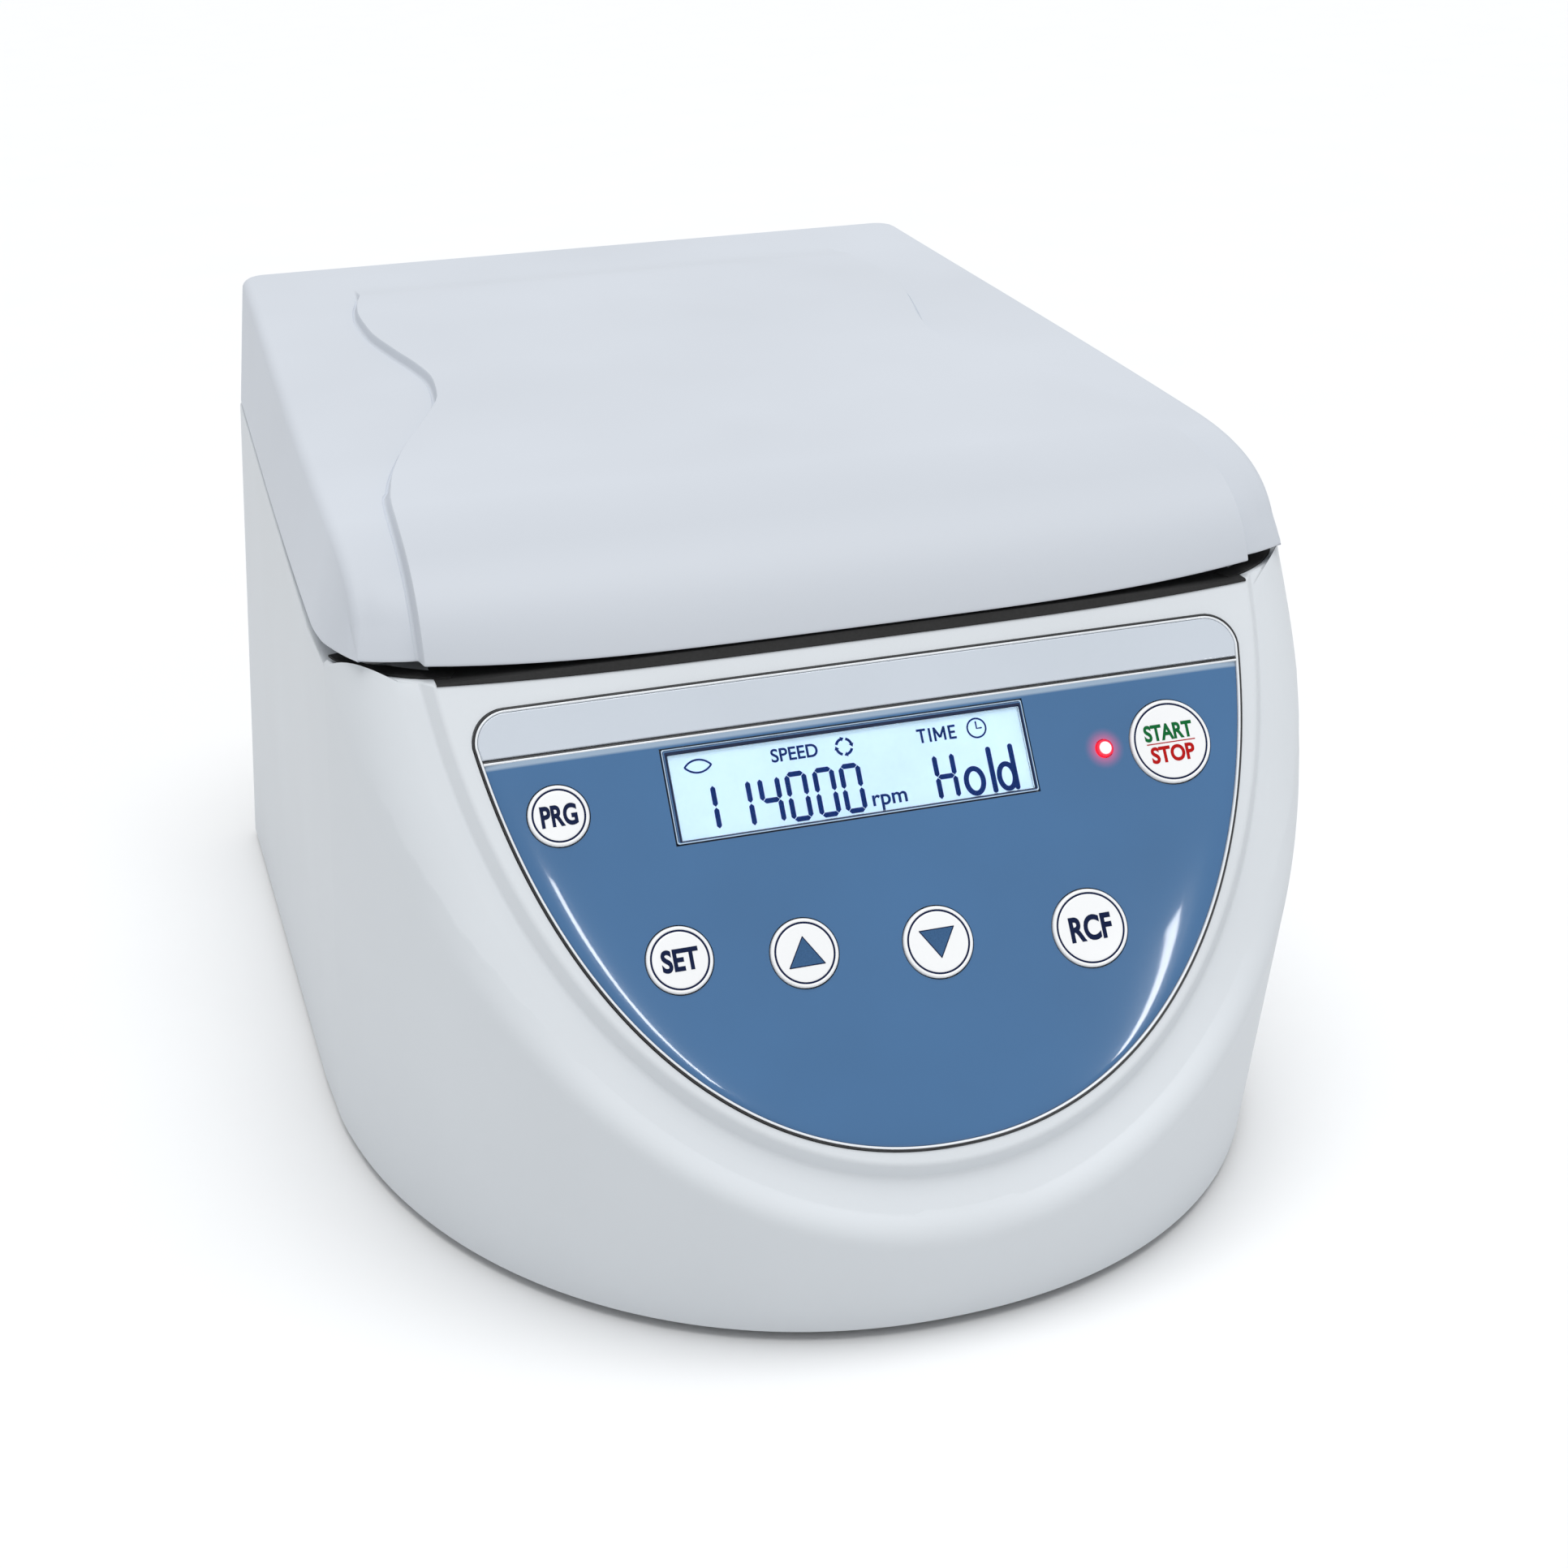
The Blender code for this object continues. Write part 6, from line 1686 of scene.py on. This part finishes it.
def makeScrews(material):
    part = rear
    low, high = part["screwLow"], part["screwHigh"]
    under = (part["underDepth"], part["underHeight"])
    liner = (part["linerDepth"], part["linerHeight"])
    for name, radius, tall, along, wide, long, turn, place, body in (
            ("rearScrews", 2.6, 1.5, 2, 2 * part["screwX"], high - low, -math.pi / 2,
             (part["face"], (high + low) / 2), "base"),
            ("baseScrews", 2.6, 0.95, 3, part["underWide"], part["underLong"], math.pi, under, "base"),
            ("linerScrews", 3.0, 1.4, 2, part["linerWide"], part["linerLong"], math.pi, liner, "lid")):
        screws = crossScrew(name, radius, tall)
        grow(screws, setInGrid, {"Across": 2, "Along": along, "Width": wide * mm, "Length": long * mm}, material)
        fit(turnedTo(screws, turn, 0, *place), body, finish="dark_steel")


def makeSwitchMarks(ink):
    # A bar on the upper half and a ring on the lower one
    part = rear
    x, depth, height = part["switch"]
    end, middle = part["switchOut"]

    def half(sign):
        turn = Matrix.Rotation(part["switchTilt"], 2)
        outer, inner = turn @ Vector((end, part["switchEnd"] * sign)), turn @ Vector((middle, 0.0))
        centre = (outer + inner) / 2
        up = (outer - inner).normalized() * sign
        normal = Vector((up.y, -up.x))

        def onFace(across, down, out):
            spot = centre - up * down + normal * out
            return at(x - across, depth - spot.x, height + spot.y)
        return onFace

    marks = bmesh.new()
    ribbon(marks, [(0.0, -1.5), (0.0, 1.5)], 0.6, -0.05, 0.05, False, False, half(1))
    ribbon(marks, ellipse(0, 0, 1.4, 1.5)[:-1], 0.5, -0.05, 0.05, True, False, half(-1))
    return fit(meshObject("rockerMarks", marks, ink), "mains_rocker", finish="button_plastic")


makeVents(coatedSteel("ventSteel", colours["darkSteel"]))
makeScrews(brushedMetal("screwSteel", shade(colours["steel"], 0.8), 0.3))
makeSwitchMarks(printedInk("whiteInk", colours["switchMarks"]))
print("rear and underside pieces made")

# Finishes of the CAD pieces that keep their own shape

def dress(material, *nodes):
    for node in nodes:
        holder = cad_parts[node]
        for slot in holder.material_slots:
            slot.link = "OBJECT"
            slot.material = material


def dressNodes():
    for material, nodes in (
            (rubber("blackRubber", colours["rubber"]),
             "chamber_gasket motor_damper_1 motor_damper_2 motor_damper_3 spindle_seal foot_front_left "
             "foot_front_right foot_rear_left foot_rear_right"),
            (rubber("paleRubber", colours["paleRubber"], 0.6), "lid_buffer_left lid_buffer_right"),
            (brushedMetal("brightSteel", colours["steel"]),
             "hinge_bracket_left hinge_bracket_right hinge_rod lid_hinge_arm_left lid_hinge_arm_right "
             "lock_striker lock_bolt inlet_pin_line inlet_pin_neutral inlet_pin_earth"),
            (turnedMetal("turnedSteel", colours["steel"], 0.24), "rotor_spindle"),
            (turnedMetal("satinAluminium", colours["aluminium"], 0.34), "motor_carrier"),
            (coatedSteel("darkSteel", colours["darkSteel"]), "base_plate rear_panel motor lock_solenoid"),
            (mouldedPlastic("blackPlastic", colours["blackPlastic"], 0.42, 0.02, 0.1),
             "power_inlet mains_switch_frame mains_rocker"),
            (mouldedPlastic("linerGrey", colours["liner"], 0.5, 0.015), "lid_liner"),
            (circuitBoard("boardGreen", colours["board"]), "control_board power_board")):
        dress(material, *nodes.split())


dressNodes()
print("CAD pieces dressed")

# The camera stands where the photograph was taken from

view = {"place": (-0.1730, 0.8278, 0.3418), "focal": 2964.6 / 1932, "sensor": 36.0,
        "right": (0.95559, -0.29285, -0.03303), "up": (0.14071, 0.35488, 0.92426),
        "back": (-0.25895, -0.88786, 0.38033)}


def makeCamera():
    lens = bpy.data.cameras.new("camera")
    lens.sensor_width = view["sensor"]
    lens.lens = view["focal"] * view["sensor"]
    lens.clip_start = 0.02
    camera = newPiece("camera", lens)
    turn = Matrix((view["right"], view["up"], view["back"])).transposed().to_4x4()
    x, ahead, z = view["place"]
    camera.matrix_world = Matrix.Translation((x, rearY - ahead, z)) @ turn
    bpy.context.scene.camera = camera


studio = {
    "sky": 0.60, "skyTone": (0.98, 0.99, 1.0, 1.0), "overhead": 1.86, "spread": 44.0, "from": (0.02, -0.18, 1.0),
    "strips": (("leftStrip", (0.004, -1.168, 0.731), (-0.073, -0.154, 0.092)),
               ("rightStrip", (0.613, -1.100, 0.587), (0.050, -0.166, 0.073))),
    "stripWide": 0.03, "stripTall": 0.34, "stripPower": 0.6, "floorHalf": 40.0,
}


def makeStudio():
    scene = bpy.context.scene
    scene.view_settings.view_transform = "Standard"
    world = bpy.data.worlds.new("studio")
    world.use_nodes = True
    background = world.node_tree.nodes["Background"]
    background.inputs["Color"].default_value = studio["skyTone"]
    background.inputs["Strength"].default_value = studio["sky"]
    scene.world = world
    floor = bmesh.new()
    bmesh.ops.create_grid(floor, x_segments=1, y_segments=1, size=studio["floorHalf"])
    meshObject("floor", floor, mouldedPlastic("floorPaint", colours["floor"], 0.7, 0.0, 0.004))
    sun = bpy.data.lights.new("overhead", "SUN")
    sun.energy = studio["overhead"]
    sun.angle = math.radians(studio["spread"])
    newPiece("overhead", sun).rotation_euler = Vector(studio["from"]).to_track_quat("Z", "Y").to_euler()
    for name, spot, target in studio["strips"]:
        lamp = bpy.data.lights.new(name, "AREA")
        lamp.shape = "RECTANGLE"
        lamp.size = studio["stripWide"]
        lamp.size_y = studio["stripTall"]
        lamp.energy = studio["stripPower"]
        strip = newPiece(name, lamp)
        strip.location = spot
        strip.rotation_euler = (Vector(target) - Vector(spot)).to_track_quat("-Z", "Y").to_euler()
        strip.visible_camera = False
        strip.visible_diffuse = False


makeCamera()
makeStudio()
print("camera and studio set")
